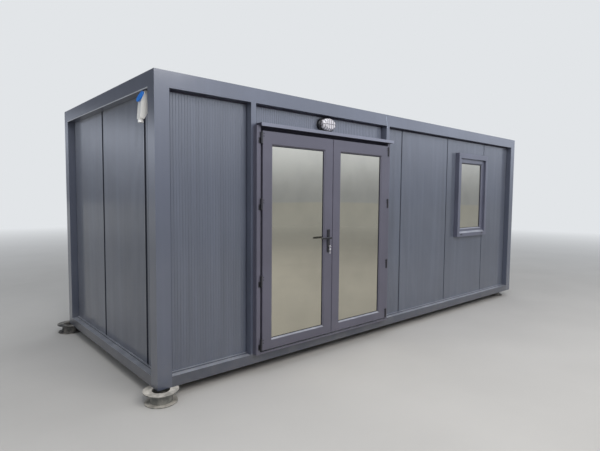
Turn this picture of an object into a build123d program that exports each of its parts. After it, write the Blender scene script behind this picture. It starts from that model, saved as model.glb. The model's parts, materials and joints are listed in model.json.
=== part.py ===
from build123d import *
import math
import os

# Portable site cabin. Millimetres, +Z up, origin on the ground at the middle of the footprint.

# Overall frame
LENGTH = 6058.0
WIDTH = 2438.0
FRAME_HEIGHT = 2438.0
STEEL = 4.0
CORNER_POST = 120.0
END_PLATE = 6.0
TOP_RAIL = 125.0
BOTTOM_RAIL = 85.0
BOTTOM_FLANGE = 60.0
ROOF_FLANGE = 60.0
FLANGE_RETURN = 20.0
FLASHING_DEPTH = 16.0
FLASHING_HEIGHT = 12.0

# Sandwich panel walls
PANEL_RECESS = 70.0
PANEL_MODULE = 1025.0
DOOR_TO_SEAM = 334.0
END_SEAM = 1380.0
RIB_PITCH = 25.0
RIB_GROOVE = 9.0
RIB_DEPTH = 2.5
TONGUE = 12.0
TONGUE_THICKNESS = 10.0
JOINT_CLEARANCE = 0.4
SEAM_LAND = 7.0
SEAM_SLOPE = 2.0
SEAM_DEPTH = 10.0

# Floor, ceiling and roof
FLOOR_THICKNESS = 19.0
JOIST_WIDTH = 50.0
JOIST_SPACING = 520.0
CEILING_THICKNESS = 50.0
CEILING_LAP = 60.0
ROOF_SHEET = 3.0
ROOF_RIB_HEIGHT = 35.0
ROOF_RIB_PITCH = 200.0
ROOF_RIB_TOP = 30.0
ROOF_RIB_BASE = 70.0

# Double door
POSTS_CENTRE = 1833.0
DOOR_POST = 52.0
POST_OPENING = 1822.0
DOOR_SHIFT = 11.0
JAMB_LAP = 16.0
JAMB_FACE = 41.0
JAMB_PROUD = 50.0
STOP_DEPTH = 22.0
STOP_LAP = 15.0
SEAL_GAP = 6.0
LEAF_PROUD = 62.0
LEAF_THICKNESS = 70.0
LEAF_GAP = 15.0
MEETING_GAP = 12.0
SILL_RISE = 21.0
SILL_LIP = 19.0
HEAD_FACE = 27.0
LINTEL_HEIGHT = 198.0
STILE = 113.0
FOOT_RAIL = 93.0
HEAD_RAIL = 122.0
BEAD = 12.0
BEAD_DEPTH = 12.0
DOOR_GLASS = 24.0
GLASS_SETBACK = 20.0
GLASS_EMBED = 10.0
DRIP_HEIGHT = 25.0
DRIP_DROP = 5.0
DRIP_REACH = 85.0
DRIP_LAP = 28.0
DRIP_SHEET = 3.0

# Door hinges and handle
HINGE_FROM_FOOT = (57.0, 627.0)
HINGE_FROM_HEAD = (640.0, 60.0)
HINGE_HEIGHT = 100.0
HINGE_RADIUS = 10.0
HINGE_PIN = 4.0
HINGE_BORE = 4.4
HINGE_OFFSET = 12.0
HINGE_WEB = 8.0
HINGE_PLATE = 3.0
HINGE_PLATE_WIDTH = 21.0
HINGE_WING = 33.0
HANDLE_LEVEL = 1095.0
HANDLE_SETBACK = 52.0
PLATE_WIDTH = 34.0
PLATE_HEIGHT = 232.0
PLATE_THICKNESS = 9.0
PLATE_CHAMFER = 2.0
PLATE_ABOVE = 85.0
LEVER_LENGTH = 140.0
LEVER_REACH = 50.0
LEVER_THICKNESS = 14.0
LEVER_HEIGHT = 20.0
LEVER_CHAMFER = 4.0
NECK_RADIUS = 10.0
NECK_CLEARANCE = 0.5
SPINDLE_RADIUS = 5.0
CYLINDER_DROP = 92.0
CYLINDER_RADIUS = 9.0
CYLINDER_PROUD = 4.0

# Window
WINDOW_PAST_SEAM = 18.0
WINDOW_RISE = 12.0
WINDOW_WIDTH = 820.0
WINDOW_HEIGHT = 1170.0
SURROUND_SETBACK = 12.0
SURROUND_SIDE = 57.0
SURROUND_FOOT = 48.0
SURROUND_HEAD = 70.0
WINDOW_COVER = 36.0
WINDOW_SLOPE = 24.0
SASH_BORDER = 66.0
SASH_SETBACK = 40.0
SASH_DEPTH = 58.0
SASH_GAP = 2.0
SASH_STOP = 16.0
WINDOW_GLASS = 24.0
WINDOW_INSIDE = 8.0

# Lamp over the door
LAMP_WIDTH = 226.0
LAMP_HEIGHT = 146.0
LAMP_BASE = 42.0
LAMP_RIM = 15.0
LAMP_BULGE = 44.0
LENS_STEPS = ((1.0, 0.0), (0.94, 0.55), (0.66, 1.0))
LENS_RIB = 4.0
LENS_RIB_WIDTH = 17.0
LENS_RIB_PITCH = 26.0
LENS_RIBS = 7
LENS_MIDDLE_GROOVE = 7.0

# Power inlet on the left end
INLET_FROM_FRONT = 225.0
INLET_WIDTH = 70.0
INLET_TILT = 25.0
INLET_CAP_RADIUS = 46.0
INLET_CAP = 10.0
INLET_CAP_OUT = 19.0
INLET_CAP_DROP = 47.0
INLET_TOP_GAP = 5.0
INLET_SPLIT_DROP = 70.0
INLET_SPLIT = 4.0
INLET_SPLIT_DEPTH = 3.0
INLET_LOWER_OUT = 17.0
INLET_BACK_DROP = 98.0
INLET_NECK_DROP = 221.0
INLET_NECK_OUT = 12.0
INLET_NECK_HALF = 17.0
INLET_COLLAR_RADIUS = 21.0
INLET_COLLAR = 28.0

# Support spools
SPOOL_HEIGHT = 95.0
SPOOL_RADIUS = 136.0
SPOOL_FOOT_RADIUS = 126.0
SPOOL_FLANGE = 7.0
SPOOL_HUB_RADIUS = 86.0
SPOOL_BORE = 69.0
SPOOL_FRONT_LEFT = (34.0, 14.0)
SPOOL_FRONT_RIGHT_INSET = (140.0, 190.0)
SPOOL_BACK_OUT = (-5.0, -14.0)

# Derived places
LEFT = -LENGTH / 2
RIGHT = LENGTH / 2
FRONT = -WIDTH / 2
BACK = WIDTH / 2
BASE = SPOOL_HEIGHT
RAIL_TOP = BASE + BOTTOM_RAIL
RAIL_UNDER = BASE + FRAME_HEIGHT - TOP_RAIL
PANEL_HEIGHT = RAIL_UNDER - RAIL_TOP
PANEL_THICKNESS = CORNER_POST - PANEL_RECESS
DOOR_POST_LEFT = POSTS_CENTRE - POST_OPENING / 2 - DOOR_POST
DOOR_POST_RIGHT = POSTS_CENTRE + POST_OPENING / 2
DOOR_CENTRE = POSTS_CENTRE - DOOR_SHIFT
FRONT_SEAM = DOOR_POST_RIGHT + DOOR_POST + DOOR_TO_SEAM
JAMB_OUT = POST_OPENING / 2 + JAMB_LAP
JAMB_IN = JAMB_OUT - JAMB_FACE
JAMB_DEPTH = JAMB_PROUD - LEAF_PROUD + LEAF_THICKNESS + SEAL_GAP + STOP_DEPTH
LEAF_OUT = JAMB_IN - LEAF_GAP
LEAF_WIDTH = LEAF_OUT - MEETING_GAP / 2
HEAD_TOP = FRAME_HEIGHT - TOP_RAIL - LINTEL_HEIGHT
LEAF_BOTTOM = BOTTOM_RAIL + SILL_RISE + LEAF_GAP
LEAF_TOP = HEAD_TOP - HEAD_FACE - LEAF_GAP
LEAF_HEIGHT = LEAF_TOP - LEAF_BOTTOM
STOP_IN = LEAF_OUT - STOP_LAP
HINGE_LEVELS = [LEAF_BOTTOM + rise for rise in HINGE_FROM_FOOT] + [LEAF_TOP - drop for drop in HINGE_FROM_HEAD]
WINDOW_LEFT = FRONT_SEAM + 2 * PANEL_MODULE + WINDOW_PAST_SEAM - WINDOW_WIDTH
WINDOW_BOTTOM = HEAD_TOP + WINDOW_RISE - WINDOW_HEIGHT
HINGE_OUT = LEAF_OUT + HINGE_OFFSET
CEILING_BASE = RAIL_UNDER + STEEL
HANDLE_X = LEFT + DOOR_CENTRE - MEETING_GAP / 2 - HANDLE_SETBACK
LEAF_FACE_Y = FRONT - LEAF_PROUD
LEAF_BACK_Y = LEAF_FACE_Y + LEAF_THICKNESS

# Each side of the frame: its first corner seen from outside, the way it runs, the way in, its length
SIDES = {
    "front": ((LEFT, FRONT), (1, 0, 0), (0, 1, 0), LENGTH),
    "right": ((RIGHT, FRONT), (0, 1, 0), (-1, 0, 0), WIDTH),
    "back": ((RIGHT, BACK), (-1, 0, 0), (0, -1, 0), LENGTH),
    "left": ((LEFT, BACK), (0, -1, 0), (1, 0, 0), WIDTH),
}


def save(part, label):
    """Labels a finished piece and writes it to its own file."""
    part.label = label
    export_step(part, f"parts/{label}.step")


def section_plane(side, start, height):
    """Plane across a side of the frame: local x runs inwards, local y runs up."""
    (x, y), run, inward, _ = SIDES[side]
    return Plane(origin=(x + run[0] * start, y + run[1] * start, height), x_dir=inward, z_dir=run)


def plan_plane(side, start, height):
    """Level plane along a side of the frame: local x runs along it, local y runs inwards."""
    (x, y), run, _, _ = SIDES[side]
    return Plane(origin=(x + run[0] * start, y + run[1] * start, height), x_dir=run, z_dir=(0, 0, 1))


def front_plane(y):
    """Upright plane parallel to the front: local x runs right, local y runs up, facing out."""
    return Plane(origin=(LEFT, y, BASE), x_dir=(1, 0, 0), z_dir=(0, -1, 0))


def bar(x0, x1, y0, y1, mode=Mode.ADD):
    """Rectangle between the given limits in the sketch being drawn."""
    with Locations(((x0 + x1) / 2, (y0 + y1) / 2)):
        Rectangle(x1 - x0, y1 - y0, mode=mode)


def corner_post(label, x, y):
    """Square hollow post with a plate closing each end."""
    with BuildPart() as post:
        with BuildSketch(Plane.XY.offset(BASE)):
            with Locations((x, y)):
                Rectangle(CORNER_POST, CORNER_POST)
                Rectangle(CORNER_POST - 2 * STEEL, CORNER_POST - 2 * STEEL, mode=Mode.SUBTRACT)
        extrude(amount=FRAME_HEIGHT)
        with BuildSketch(Plane.XY.offset(BASE), Plane.XY.offset(BASE + FRAME_HEIGHT - END_PLATE)):
            with Locations((x, y)):
                Rectangle(CORNER_POST, CORNER_POST)
        extrude(amount=END_PLATE)
    save(post.part, label)


def bottom_rail(side, flashing_runs):
    """Folded channel with its open side inwards and a flashing that stops the panel feet."""
    length = SIDES[side][3]
    with BuildPart() as rail:
        with BuildSketch(section_plane(side, CORNER_POST, BASE)):
            bar(0, STEEL, 0, BOTTOM_RAIL)
            bar(0, CORNER_POST, BOTTOM_RAIL - STEEL, BOTTOM_RAIL)
            bar(0, BOTTOM_FLANGE, 0, STEEL)
        extrude(amount=length - 2 * CORNER_POST)
        for start, end in flashing_runs:
            with BuildSketch(section_plane(side, start, RAIL_TOP)):
                bar(PANEL_RECESS - FLASHING_DEPTH, PANEL_RECESS, 0, FLASHING_HEIGHT)
            extrude(amount=end - start)
    save(rail.part, f"bottom_rail_{side}")


def top_rail(side):
    """Folded channel that carries the ceiling inside and laps the roof sheet on top."""
    length = SIDES[side][3]
    with BuildPart() as rail:
        with BuildSketch(section_plane(side, CORNER_POST, RAIL_UNDER)):
            bar(0, STEEL, 0, TOP_RAIL)
            bar(0, CORNER_POST, 0, STEEL)
            bar(0, ROOF_FLANGE, TOP_RAIL - STEEL, TOP_RAIL)
            bar(ROOF_FLANGE - STEEL, ROOF_FLANGE, TOP_RAIL - FLANGE_RETURN, TOP_RAIL)
        extrude(amount=length - 2 * CORNER_POST)
    save(rail.part, f"top_rail_{side}")


def panel_outline(start, width, length, tongue, groove):
    """Corner points of a ribbed panel seen from above, outer face first, tongue at the far end."""
    step = SEAM_LAND + SEAM_SLOPE
    points = [(0, SEAM_DEPTH), (SEAM_LAND, SEAM_DEPTH), (step, 0)]
    clear = step + RIB_GROOVE
    first = math.ceil((start + clear - length / 2) / RIB_PITCH)
    last = math.floor((start + width - clear - length / 2) / RIB_PITCH)
    for i in range(first, last + 1):
        middle = i * RIB_PITCH + length / 2 - start
        points += [(middle - RIB_GROOVE / 2, 0), (middle, RIB_DEPTH), (middle + RIB_GROOVE / 2, 0)]
    points += [(width - step, 0), (width - SEAM_LAND, SEAM_DEPTH), (width, SEAM_DEPTH)]
    middle, half = PANEL_THICKNESS / 2, TONGUE_THICKNESS / 2
    if tongue:
        points += [(width, middle - half), (width + TONGUE, middle - half)]
        points += [(width + TONGUE, middle + half), (width, middle + half)]
    points += [(width, PANEL_THICKNESS), (0, PANEL_THICKNESS)]
    if groove:
        half += JOINT_CLEARANCE
        depth = TONGUE + JOINT_CLEARANCE
        points += [(0, middle + half), (depth, middle + half)]
        points += [(depth, middle - half), (0, middle - half)]
    return points


def wall_panel(label, side, start, end, tongue=True, groove=True, low=RAIL_TOP, high=RAIL_UNDER, hole=None):
    """Sandwich panel between two stations of a side, with an optional upright hole through it."""
    _, _, inward, length = SIDES[side]
    base = plan_plane(side, start, low)
    base.origin += Vector(*inward) * PANEL_RECESS
    with BuildPart() as panel:
        with BuildSketch(base):
            with BuildLine():
                Polyline(*panel_outline(start, end - start, length, tongue, groove), close=True)
            make_face()
        extrude(amount=high - low)
        if hole:
            x0, x1, z0, z1 = hole
            with BuildSketch(front_plane(FRONT)):
                bar(x0, x1, z0, z1)
            extrude(amount=-2 * CORNER_POST, mode=Mode.SUBTRACT)
    save(panel.part, label)


def wall_run(side, names, stations, hole_at=None, hole=None):
    """Row of panels that lock into each other between two posts."""
    last = len(names) - 1
    for i, name in enumerate(names):
        wall_panel(f"wall_{side}_{name}", side, stations[i], stations[i + 1],
                   tongue=i < last, groove=i > 0, hole=hole if name == hole_at else None)


def glazed_frame(label, left, bottom, width, height, face_y, depth, borders, glass, drill=None):
    """Profile frame with bevelled beads and a glass pocket; borders are those of side, foot and head."""
    side, foot, head = borders
    inner = (left + side, left + width - side, bottom + foot, bottom + height - head)
    pocket = (inner[0] - GLASS_EMBED, inner[1] + GLASS_EMBED, inner[2] - GLASS_EMBED, inner[3] + GLASS_EMBED)
    slope = math.degrees(math.atan2(BEAD, BEAD_DEPTH))
    with BuildPart() as frame:
        with BuildSketch(front_plane(face_y)):
            bar(left, left + width, bottom, bottom + height)
            bar(*inner, mode=Mode.SUBTRACT)
        extrude(amount=-depth)
        with BuildSketch(front_plane(face_y + GLASS_SETBACK)):
            bar(*pocket)
        extrude(amount=-glass, mode=Mode.SUBTRACT)
        with BuildSketch(front_plane(face_y + BEAD_DEPTH)):
            bar(*inner)
        extrude(amount=BEAD_DEPTH, taper=-slope, mode=Mode.SUBTRACT)
        if drill:
            with BuildSketch(front_plane(face_y)):
                with Locations(drill):
                    Circle(SPINDLE_RADIUS + NECK_CLEARANCE)
            extrude(amount=-depth, mode=Mode.SUBTRACT)
    save(frame.part, label)
    return pocket


def pane(label, limits, face_y, glass):
    """Sealed glass unit that fills the pocket of its frame."""
    with BuildPart() as unit:
        with BuildSketch(front_plane(face_y + GLASS_SETBACK)):
            bar(*limits)
        extrude(amount=-glass)
    save(unit.part, label)


def mirrored(points, sign):
    """Plan points of a door profile, turned over for the right-hand side."""
    return [(LEFT + DOOR_CENTRE + sign * x, y) for x, y in points]


def door_jamb(label, sign):
    """Rebated upright of the door frame: lapped over the post outside, with a stop inside."""
    body = POST_OPENING / 2 + sign * DOOR_SHIFT
    face, back = FRONT - JAMB_PROUD, FRONT - JAMB_PROUD + JAMB_DEPTH
    stop = back - STOP_DEPTH
    points = [(JAMB_OUT, face), (JAMB_IN, face), (JAMB_IN, stop), (STOP_IN, stop),
              (STOP_IN, back), (body, back), (body, FRONT), (JAMB_OUT, FRONT)]
    with BuildPart() as jamb:
        with BuildSketch(Plane.XY.offset(RAIL_TOP)):
            with BuildLine():
                Polyline(*mirrored(points, sign), close=True)
            make_face()
        extrude(amount=HEAD_TOP - BOTTOM_RAIL)
    save(jamb.part, label)


def door_cross_member(label, points):
    """Head or sill of the door frame, drawn in section and run between the jamb faces."""
    middle, back = LEFT + DOOR_CENTRE, FRONT - JAMB_PROUD + JAMB_DEPTH
    with BuildPart() as member:
        with BuildSketch(Plane(origin=(middle - JAMB_IN, FRONT, BASE), x_dir=(0, 1, 0), z_dir=(1, 0, 0))):
            with BuildLine():
                Polyline(*points, close=True)
            make_face()
        extrude(amount=2 * JAMB_IN)
        with BuildSketch(Plane.XY.offset(BASE)):
            bar(middle - JAMB_IN, middle - STOP_IN, back - STOP_DEPTH, back)
            bar(middle + STOP_IN, middle + JAMB_IN, back - STOP_DEPTH, back)
        extrude(amount=FRAME_HEIGHT, mode=Mode.SUBTRACT)
    save(member.part, label)


def hinge_span(sign, near, far):
    """Left and right x of a hinge piece, given by its distances from the middle of the door."""
    ends = [LEFT + DOOR_CENTRE + sign * near, LEFT + DOOR_CENTRE + sign * far]
    return min(ends), max(ends)


def frame_hinges(label, signs):
    """Lower halves of the hinges with their pins, on plates screwed to the jamb faces."""
    half = HINGE_HEIGHT / 2
    jamb_y = FRONT - JAMB_PROUD
    with BuildPart() as hinges:
        for sign in signs:
            place = (LEFT + DOOR_CENTRE + sign * HINGE_OUT, LEAF_FACE_Y)
            for level in HINGE_LEVELS:
                foot = Plane.XY.offset(BASE + level - half)
                with BuildSketch(foot):
                    with Locations(place):
                        Circle(HINGE_RADIUS)
                    bar(*hinge_span(sign, JAMB_IN, JAMB_IN + HINGE_WEB), LEAF_FACE_Y, jamb_y)
                    bar(*hinge_span(sign, JAMB_IN, JAMB_IN + HINGE_PLATE_WIDTH), jamb_y - HINGE_PLATE, jamb_y)
                extrude(amount=half - JOINT_CLEARANCE)
                with BuildSketch(foot):
                    with Locations(place):
                        Circle(HINGE_PIN)
                extrude(amount=HINGE_HEIGHT - HINGE_PLATE)
    save(hinges.part, label)


def leaf_hinges(label, sign):
    """Upper halves of one leaf's hinges, bored for the pins, with wings on the leaf's edge."""
    half = HINGE_HEIGHT / 2
    place = (LEFT + DOOR_CENTRE + sign * HINGE_OUT, LEAF_FACE_Y)
    with BuildPart() as hinges:
        for level in HINGE_LEVELS:
            with BuildSketch(Plane.XY.offset(BASE + level)):
                with Locations(place):
                    Circle(HINGE_RADIUS)
                bar(*hinge_span(sign, LEAF_OUT, HINGE_OUT), LEAF_FACE_Y, LEAF_FACE_Y + HINGE_WEB)
                bar(*hinge_span(sign, LEAF_OUT, LEAF_OUT + HINGE_PLATE), LEAF_FACE_Y, LEAF_FACE_Y + HINGE_WING)
            extrude(amount=half)
            with BuildSketch(Plane.XY.offset(BASE + level)):
                with Locations(place):
                    Circle(HINGE_BORE)
            extrude(amount=half - HINGE_PLATE + JOINT_CLEARANCE, mode=Mode.SUBTRACT)
    save(hinges.part, label)


def handle_plates():
    """Long cover plate and lock cylinder on each face of the left leaf."""
    middle = HANDLE_LEVEL + PLATE_ABOVE - PLATE_HEIGHT / 2
    with BuildPart() as plates:
        for face_y, out in ((LEAF_FACE_Y, 1), (LEAF_BACK_Y, -1)):
            with BuildSketch(front_plane(face_y)):
                with Locations((HANDLE_X - LEFT, middle)):
                    RectangleRounded(PLATE_WIDTH, PLATE_HEIGHT, PLATE_WIDTH / 4)
                with Locations((HANDLE_X - LEFT, HANDLE_LEVEL)):
                    Circle(NECK_RADIUS + NECK_CLEARANCE, mode=Mode.SUBTRACT)
            extrude(amount=out * PLATE_THICKNESS)
        for rim in (plates.edges().group_by(Axis.Y)[0], plates.edges().group_by(Axis.Y)[-1]):
            chamfer(rim.filter_by(lambda edge: not edge.is_closed), PLATE_CHAMFER)
        for face_y, out in ((LEAF_FACE_Y, 1), (LEAF_BACK_Y, -1)):
            with BuildSketch(front_plane(face_y)):
                with Locations((HANDLE_X - LEFT, HANDLE_LEVEL - CYLINDER_DROP)):
                    Circle(CYLINDER_RADIUS)
            extrude(amount=out * (PLATE_THICKNESS + CYLINDER_PROUD))
    save(plates.part, "handle_plates")


def lever_handle():
    """Lever on each face of the left leaf, on one spindle through it, pointing to the hinges."""
    with BuildPart() as lever:
        with BuildSketch(front_plane(LEAF_FACE_Y)):
            with Locations((HANDLE_X - LEFT, HANDLE_LEVEL)):
                Circle(SPINDLE_RADIUS)
        extrude(amount=-LEAF_THICKNESS)
        for face_y, out in ((LEAF_FACE_Y - JOINT_CLEARANCE, 1), (LEAF_BACK_Y + JOINT_CLEARANCE, -1)):
            with BuildSketch(front_plane(face_y)):
                with Locations((HANDLE_X - LEFT, HANDLE_LEVEL)):
                    Circle(NECK_RADIUS)
            extrude(amount=out * LEVER_REACH)
            with BuildSketch(front_plane(face_y - out * (LEVER_REACH - LEVER_THICKNESS))):
                with Locations((HANDLE_X - LEFT - LEVER_LENGTH / 2 + NECK_RADIUS, HANDLE_LEVEL)):
                    SlotOverall(LEVER_LENGTH, LEVER_HEIGHT)
            extrude(amount=out * LEVER_THICKNESS)
            with BuildSketch(front_plane(face_y)):
                with Locations((HANDLE_X - LEFT, HANDLE_LEVEL)):
                    Circle(SPINDLE_RADIUS)
            extrude(amount=-out * JOINT_CLEARANCE)
        for rim in (lever.edges().group_by(Axis.Y)[0], lever.edges().group_by(Axis.Y)[-1]):
            chamfer(rim, LEVER_CHAMFER)
    save(lever.part, "lever_handle")


def window_frame():
    """Deep surround over the panel hole, with a sloped sill, stepped inside to take the sash."""
    back = CORNER_POST + WINDOW_INSIDE
    cover = (WINDOW_COVER,) * 3
    borders = (SURROUND_SIDE, SURROUND_FOOT, SURROUND_HEAD)
    steps = ((SURROUND_SETBACK, PANEL_RECESS, (0, 0, 0), Mode.ADD), (PANEL_RECESS, back, cover, Mode.ADD),
             (SURROUND_SETBACK, SASH_SETBACK + SASH_DEPTH, borders, Mode.SUBTRACT),
             (SURROUND_SETBACK, back, [border + SASH_STOP for border in borders], Mode.SUBTRACT))
    with BuildPart() as frame:
        for near, far, (side, foot, head), mode in steps:
            with BuildSketch(front_plane(FRONT + near)):
                bar(WINDOW_LEFT + side, WINDOW_LEFT + WINDOW_WIDTH - side,
                    WINDOW_BOTTOM + foot, WINDOW_BOTTOM + WINDOW_HEIGHT - head)
            extrude(amount=near - far, mode=mode)
        with BuildSketch(section_plane("front", WINDOW_LEFT + SURROUND_SIDE, BASE + WINDOW_BOTTOM + SURROUND_FOOT)):
            with BuildLine():
                Polyline((SURROUND_SETBACK, 0), (SASH_SETBACK - SASH_GAP, 0), (SASH_SETBACK - SASH_GAP, WINDOW_SLOPE),
                         close=True)
            make_face()
        extrude(amount=WINDOW_WIDTH - 2 * SURROUND_SIDE)
    save(frame.part, "window_frame")


def lens_dome(y, centre, proud):
    """Stepped oval dome of the lamp lens, its skin moved out by the given amount."""
    with BuildPart() as dome:
        for share, height in LENS_STEPS:
            with BuildSketch(front_plane(y - height * (LAMP_BULGE + proud))):
                with Locations(centre):
                    Ellipse((LAMP_WIDTH / 2 - LAMP_RIM) * share + proud, (LAMP_HEIGHT / 2 - LAMP_RIM) * share + proud)
        loft(ruled=True)
    return dome.part


def oval_lamp():
    """Oval bulkhead lamp: a rimmed base on the panel over the door and a domed lens with moulded flutes."""
    centre = (DOOR_CENTRE, (HEAD_TOP + DRIP_HEIGHT + FRAME_HEIGHT - TOP_RAIL) / 2)
    wall_y = FRONT + PANEL_RECESS
    lens_y = wall_y - LAMP_BASE
    with BuildPart() as base:
        with BuildSketch(front_plane(wall_y)):
            with Locations(centre):
                Ellipse(LAMP_WIDTH / 2, LAMP_HEIGHT / 2)
        extrude(amount=LAMP_BASE)
        chamfer(base.edges().group_by(Axis.Y)[0], LAMP_RIM / 2)
    save(base.part, "lamp_base")
    with BuildPart() as ribs:
        add(lens_dome(lens_y, centre, LENS_RIB))
        with BuildSketch(front_plane(lens_y)):
            with Locations(centre):
                with GridLocations(LENS_RIB_PITCH, 0, LENS_RIBS, 1):
                    Rectangle(LENS_RIB_WIDTH, LAMP_HEIGHT)
                Rectangle(LAMP_WIDTH, LENS_MIDDLE_GROOVE, mode=Mode.SUBTRACT)
        extrude(amount=LAMP_BULGE + LENS_RIB, mode=Mode.INTERSECT)
    with BuildPart() as lens:
        add(lens_dome(lens_y, centre, 0))
        add(ribs.part)
    save(lens.part, "lamp_lens")


def power_inlet():
    """Inlet on the left end: white housing with a tilted blue cap above a tapered body with a cable collar."""
    wall = PANEL_RECESS
    drops = INLET_TOP_GAP, INLET_SPLIT_DROP, INLET_SPLIT_DROP + INLET_SPLIT, INLET_BACK_DROP, INLET_NECK_DROP
    top, split, lower, back, neck = (-drop for drop in drops)
    lean = math.radians(INLET_TILT)
    face_at_split, face_at_top = ((level + INLET_CAP_DROP) * math.tan(lean) + INLET_CAP / math.cos(lean)
                                  - INLET_CAP_OUT for level in (split, top))
    core = face_at_split + INLET_SPLIT_DEPTH
    upper_points = [(wall, top), (face_at_top, top), (face_at_split, split), (wall, split)]
    core_points = [(wall, split), (core, split), (core, lower), (wall, lower)]
    lower_points = [(wall, lower), (-INLET_LOWER_OUT, lower), (-INLET_NECK_OUT - INLET_NECK_HALF, neck),
                    (-INLET_NECK_OUT + INLET_NECK_HALF, neck), (wall, back)]
    start = FRONT + INLET_FROM_FRONT
    with BuildPart() as body:
        for points, width in ((upper_points, INLET_WIDTH), (core_points, INLET_WIDTH - 2 * INLET_SPLIT_DEPTH),
                              (lower_points, INLET_WIDTH - 2 * INLET_SPLIT_DEPTH)):
            with BuildSketch(Plane(origin=(LEFT, start + width / 2, RAIL_UNDER), x_dir=(1, 0, 0), z_dir=(0, -1, 0))):
                with BuildLine():
                    Polyline(*points, close=True)
                make_face()
            extrude(amount=width)
        with BuildSketch(Plane.XY.offset(RAIL_UNDER + neck - INLET_COLLAR)):
            with Locations((LEFT - INLET_NECK_OUT, start)):
                Circle(INLET_COLLAR_RADIUS)
        extrude(amount=INLET_COLLAR)
    save(body.part, "inlet_body")
    with BuildPart() as cap:
        with BuildSketch(Plane(origin=(LEFT - INLET_CAP_OUT, start, RAIL_UNDER - INLET_CAP_DROP), x_dir=(0, -1, 0),
                               z_dir=(-math.cos(lean), 0, math.sin(lean)))):
            Circle(INLET_CAP_RADIUS)
        extrude(amount=-INLET_CAP)
        chamfer(cap.edges().sort_by(Axis.X)[0], INLET_CAP / 4)
    save(cap.part, "inlet_cap")


def support_spools():
    """Flanged hubs laid flat under the four corners."""
    places = (
        (LEFT + SPOOL_FRONT_LEFT[0], FRONT + SPOOL_FRONT_LEFT[1]),
        (RIGHT - SPOOL_FRONT_RIGHT_INSET[0], FRONT + SPOOL_FRONT_RIGHT_INSET[1]),
        (RIGHT + SPOOL_BACK_OUT[0], BACK + SPOOL_BACK_OUT[1]),
        (LEFT - SPOOL_BACK_OUT[0], BACK + SPOOL_BACK_OUT[1]),
    )
    profile = [(SPOOL_BORE, 0), (SPOOL_FOOT_RADIUS, 0), (SPOOL_FOOT_RADIUS, SPOOL_FLANGE),
               (SPOOL_HUB_RADIUS, SPOOL_FLANGE), (SPOOL_HUB_RADIUS, SPOOL_HEIGHT - SPOOL_FLANGE),
               (SPOOL_RADIUS, SPOOL_HEIGHT - SPOOL_FLANGE), (SPOOL_RADIUS, SPOOL_HEIGHT), (SPOOL_BORE, SPOOL_HEIGHT)]
    with BuildPart() as spools:
        for x, y in places:
            with BuildSketch(Plane(origin=(x, y, 0), x_dir=(1, 0, 0), z_dir=(0, -1, 0))):
                with BuildLine():
                    Polyline(*profile, close=True)
                make_face()
            revolve(axis=Axis((x, y, 0), (0, 0, 1)))
    save(spools.part, "support_spools")


def floor_and_roof():
    """Joists and deck below, ceiling panel and ribbed roof sheet above."""
    clear = LENGTH - 2 * CORNER_POST
    bays = round(clear / JOIST_SPACING)
    with BuildPart() as joists:
        with BuildSketch(Plane.XY.offset(BASE + STEEL)):
            with GridLocations(clear / bays, 0, bays - 1, 1):
                Rectangle(JOIST_WIDTH, WIDTH - 2 * STEEL)
                Rectangle(JOIST_WIDTH - 2 * STEEL, WIDTH - 2 * STEEL, mode=Mode.SUBTRACT)
        extrude(amount=BOTTOM_RAIL - 2 * STEEL)
        with BuildSketch(Plane.XY.offset(BASE + BOTTOM_RAIL - 2 * STEEL)):
            with GridLocations(clear / bays, 0, bays - 1, 1):
                Rectangle(JOIST_WIDTH, WIDTH - 2 * STEEL)
        extrude(amount=STEEL)
    save(joists.part, "floor_joists")
    with BuildPart() as deck:
        with BuildSketch(Plane.XY.offset(RAIL_TOP - STEEL)):
            Rectangle(clear, WIDTH - 2 * CORNER_POST)
        extrude(amount=FLOOR_THICKNESS)
    save(deck.part, "floor_deck")
    with BuildPart() as ceiling:
        with BuildSketch(Plane.XY.offset(CEILING_BASE)):
            Rectangle(clear, WIDTH - 2 * (CORNER_POST - CEILING_LAP))
        extrude(amount=CEILING_THICKNESS)
    save(ceiling.part, "ceiling_panel")
    sheet_base = CEILING_BASE + CEILING_THICKNESS
    span = WIDTH - 2 * (CORNER_POST - CEILING_LAP)
    ribs = int(clear // ROOF_RIB_PITCH)
    margin = (clear - ribs * ROOF_RIB_PITCH) / 2
    under = [(-clear / 2, 0)]
    for i in range(ribs):
        middle = -clear / 2 + margin + (i + 0.5) * ROOF_RIB_PITCH
        under += [(middle - ROOF_RIB_BASE / 2, 0), (middle - ROOF_RIB_TOP / 2, ROOF_RIB_HEIGHT),
                  (middle + ROOF_RIB_TOP / 2, ROOF_RIB_HEIGHT), (middle + ROOF_RIB_BASE / 2, 0)]
    under += [(clear / 2, 0)]
    over = [(x, z + ROOF_SHEET) for x, z in reversed(under)]
    with BuildPart() as sheet:
        with BuildSketch(Plane(origin=(0, span / 2, sheet_base), x_dir=(1, 0, 0), z_dir=(0, -1, 0))):
            with BuildLine():
                Polyline(*under, *over, close=True)
            make_face()
        extrude(amount=span)
    save(sheet.part, "roof_sheet")


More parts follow.
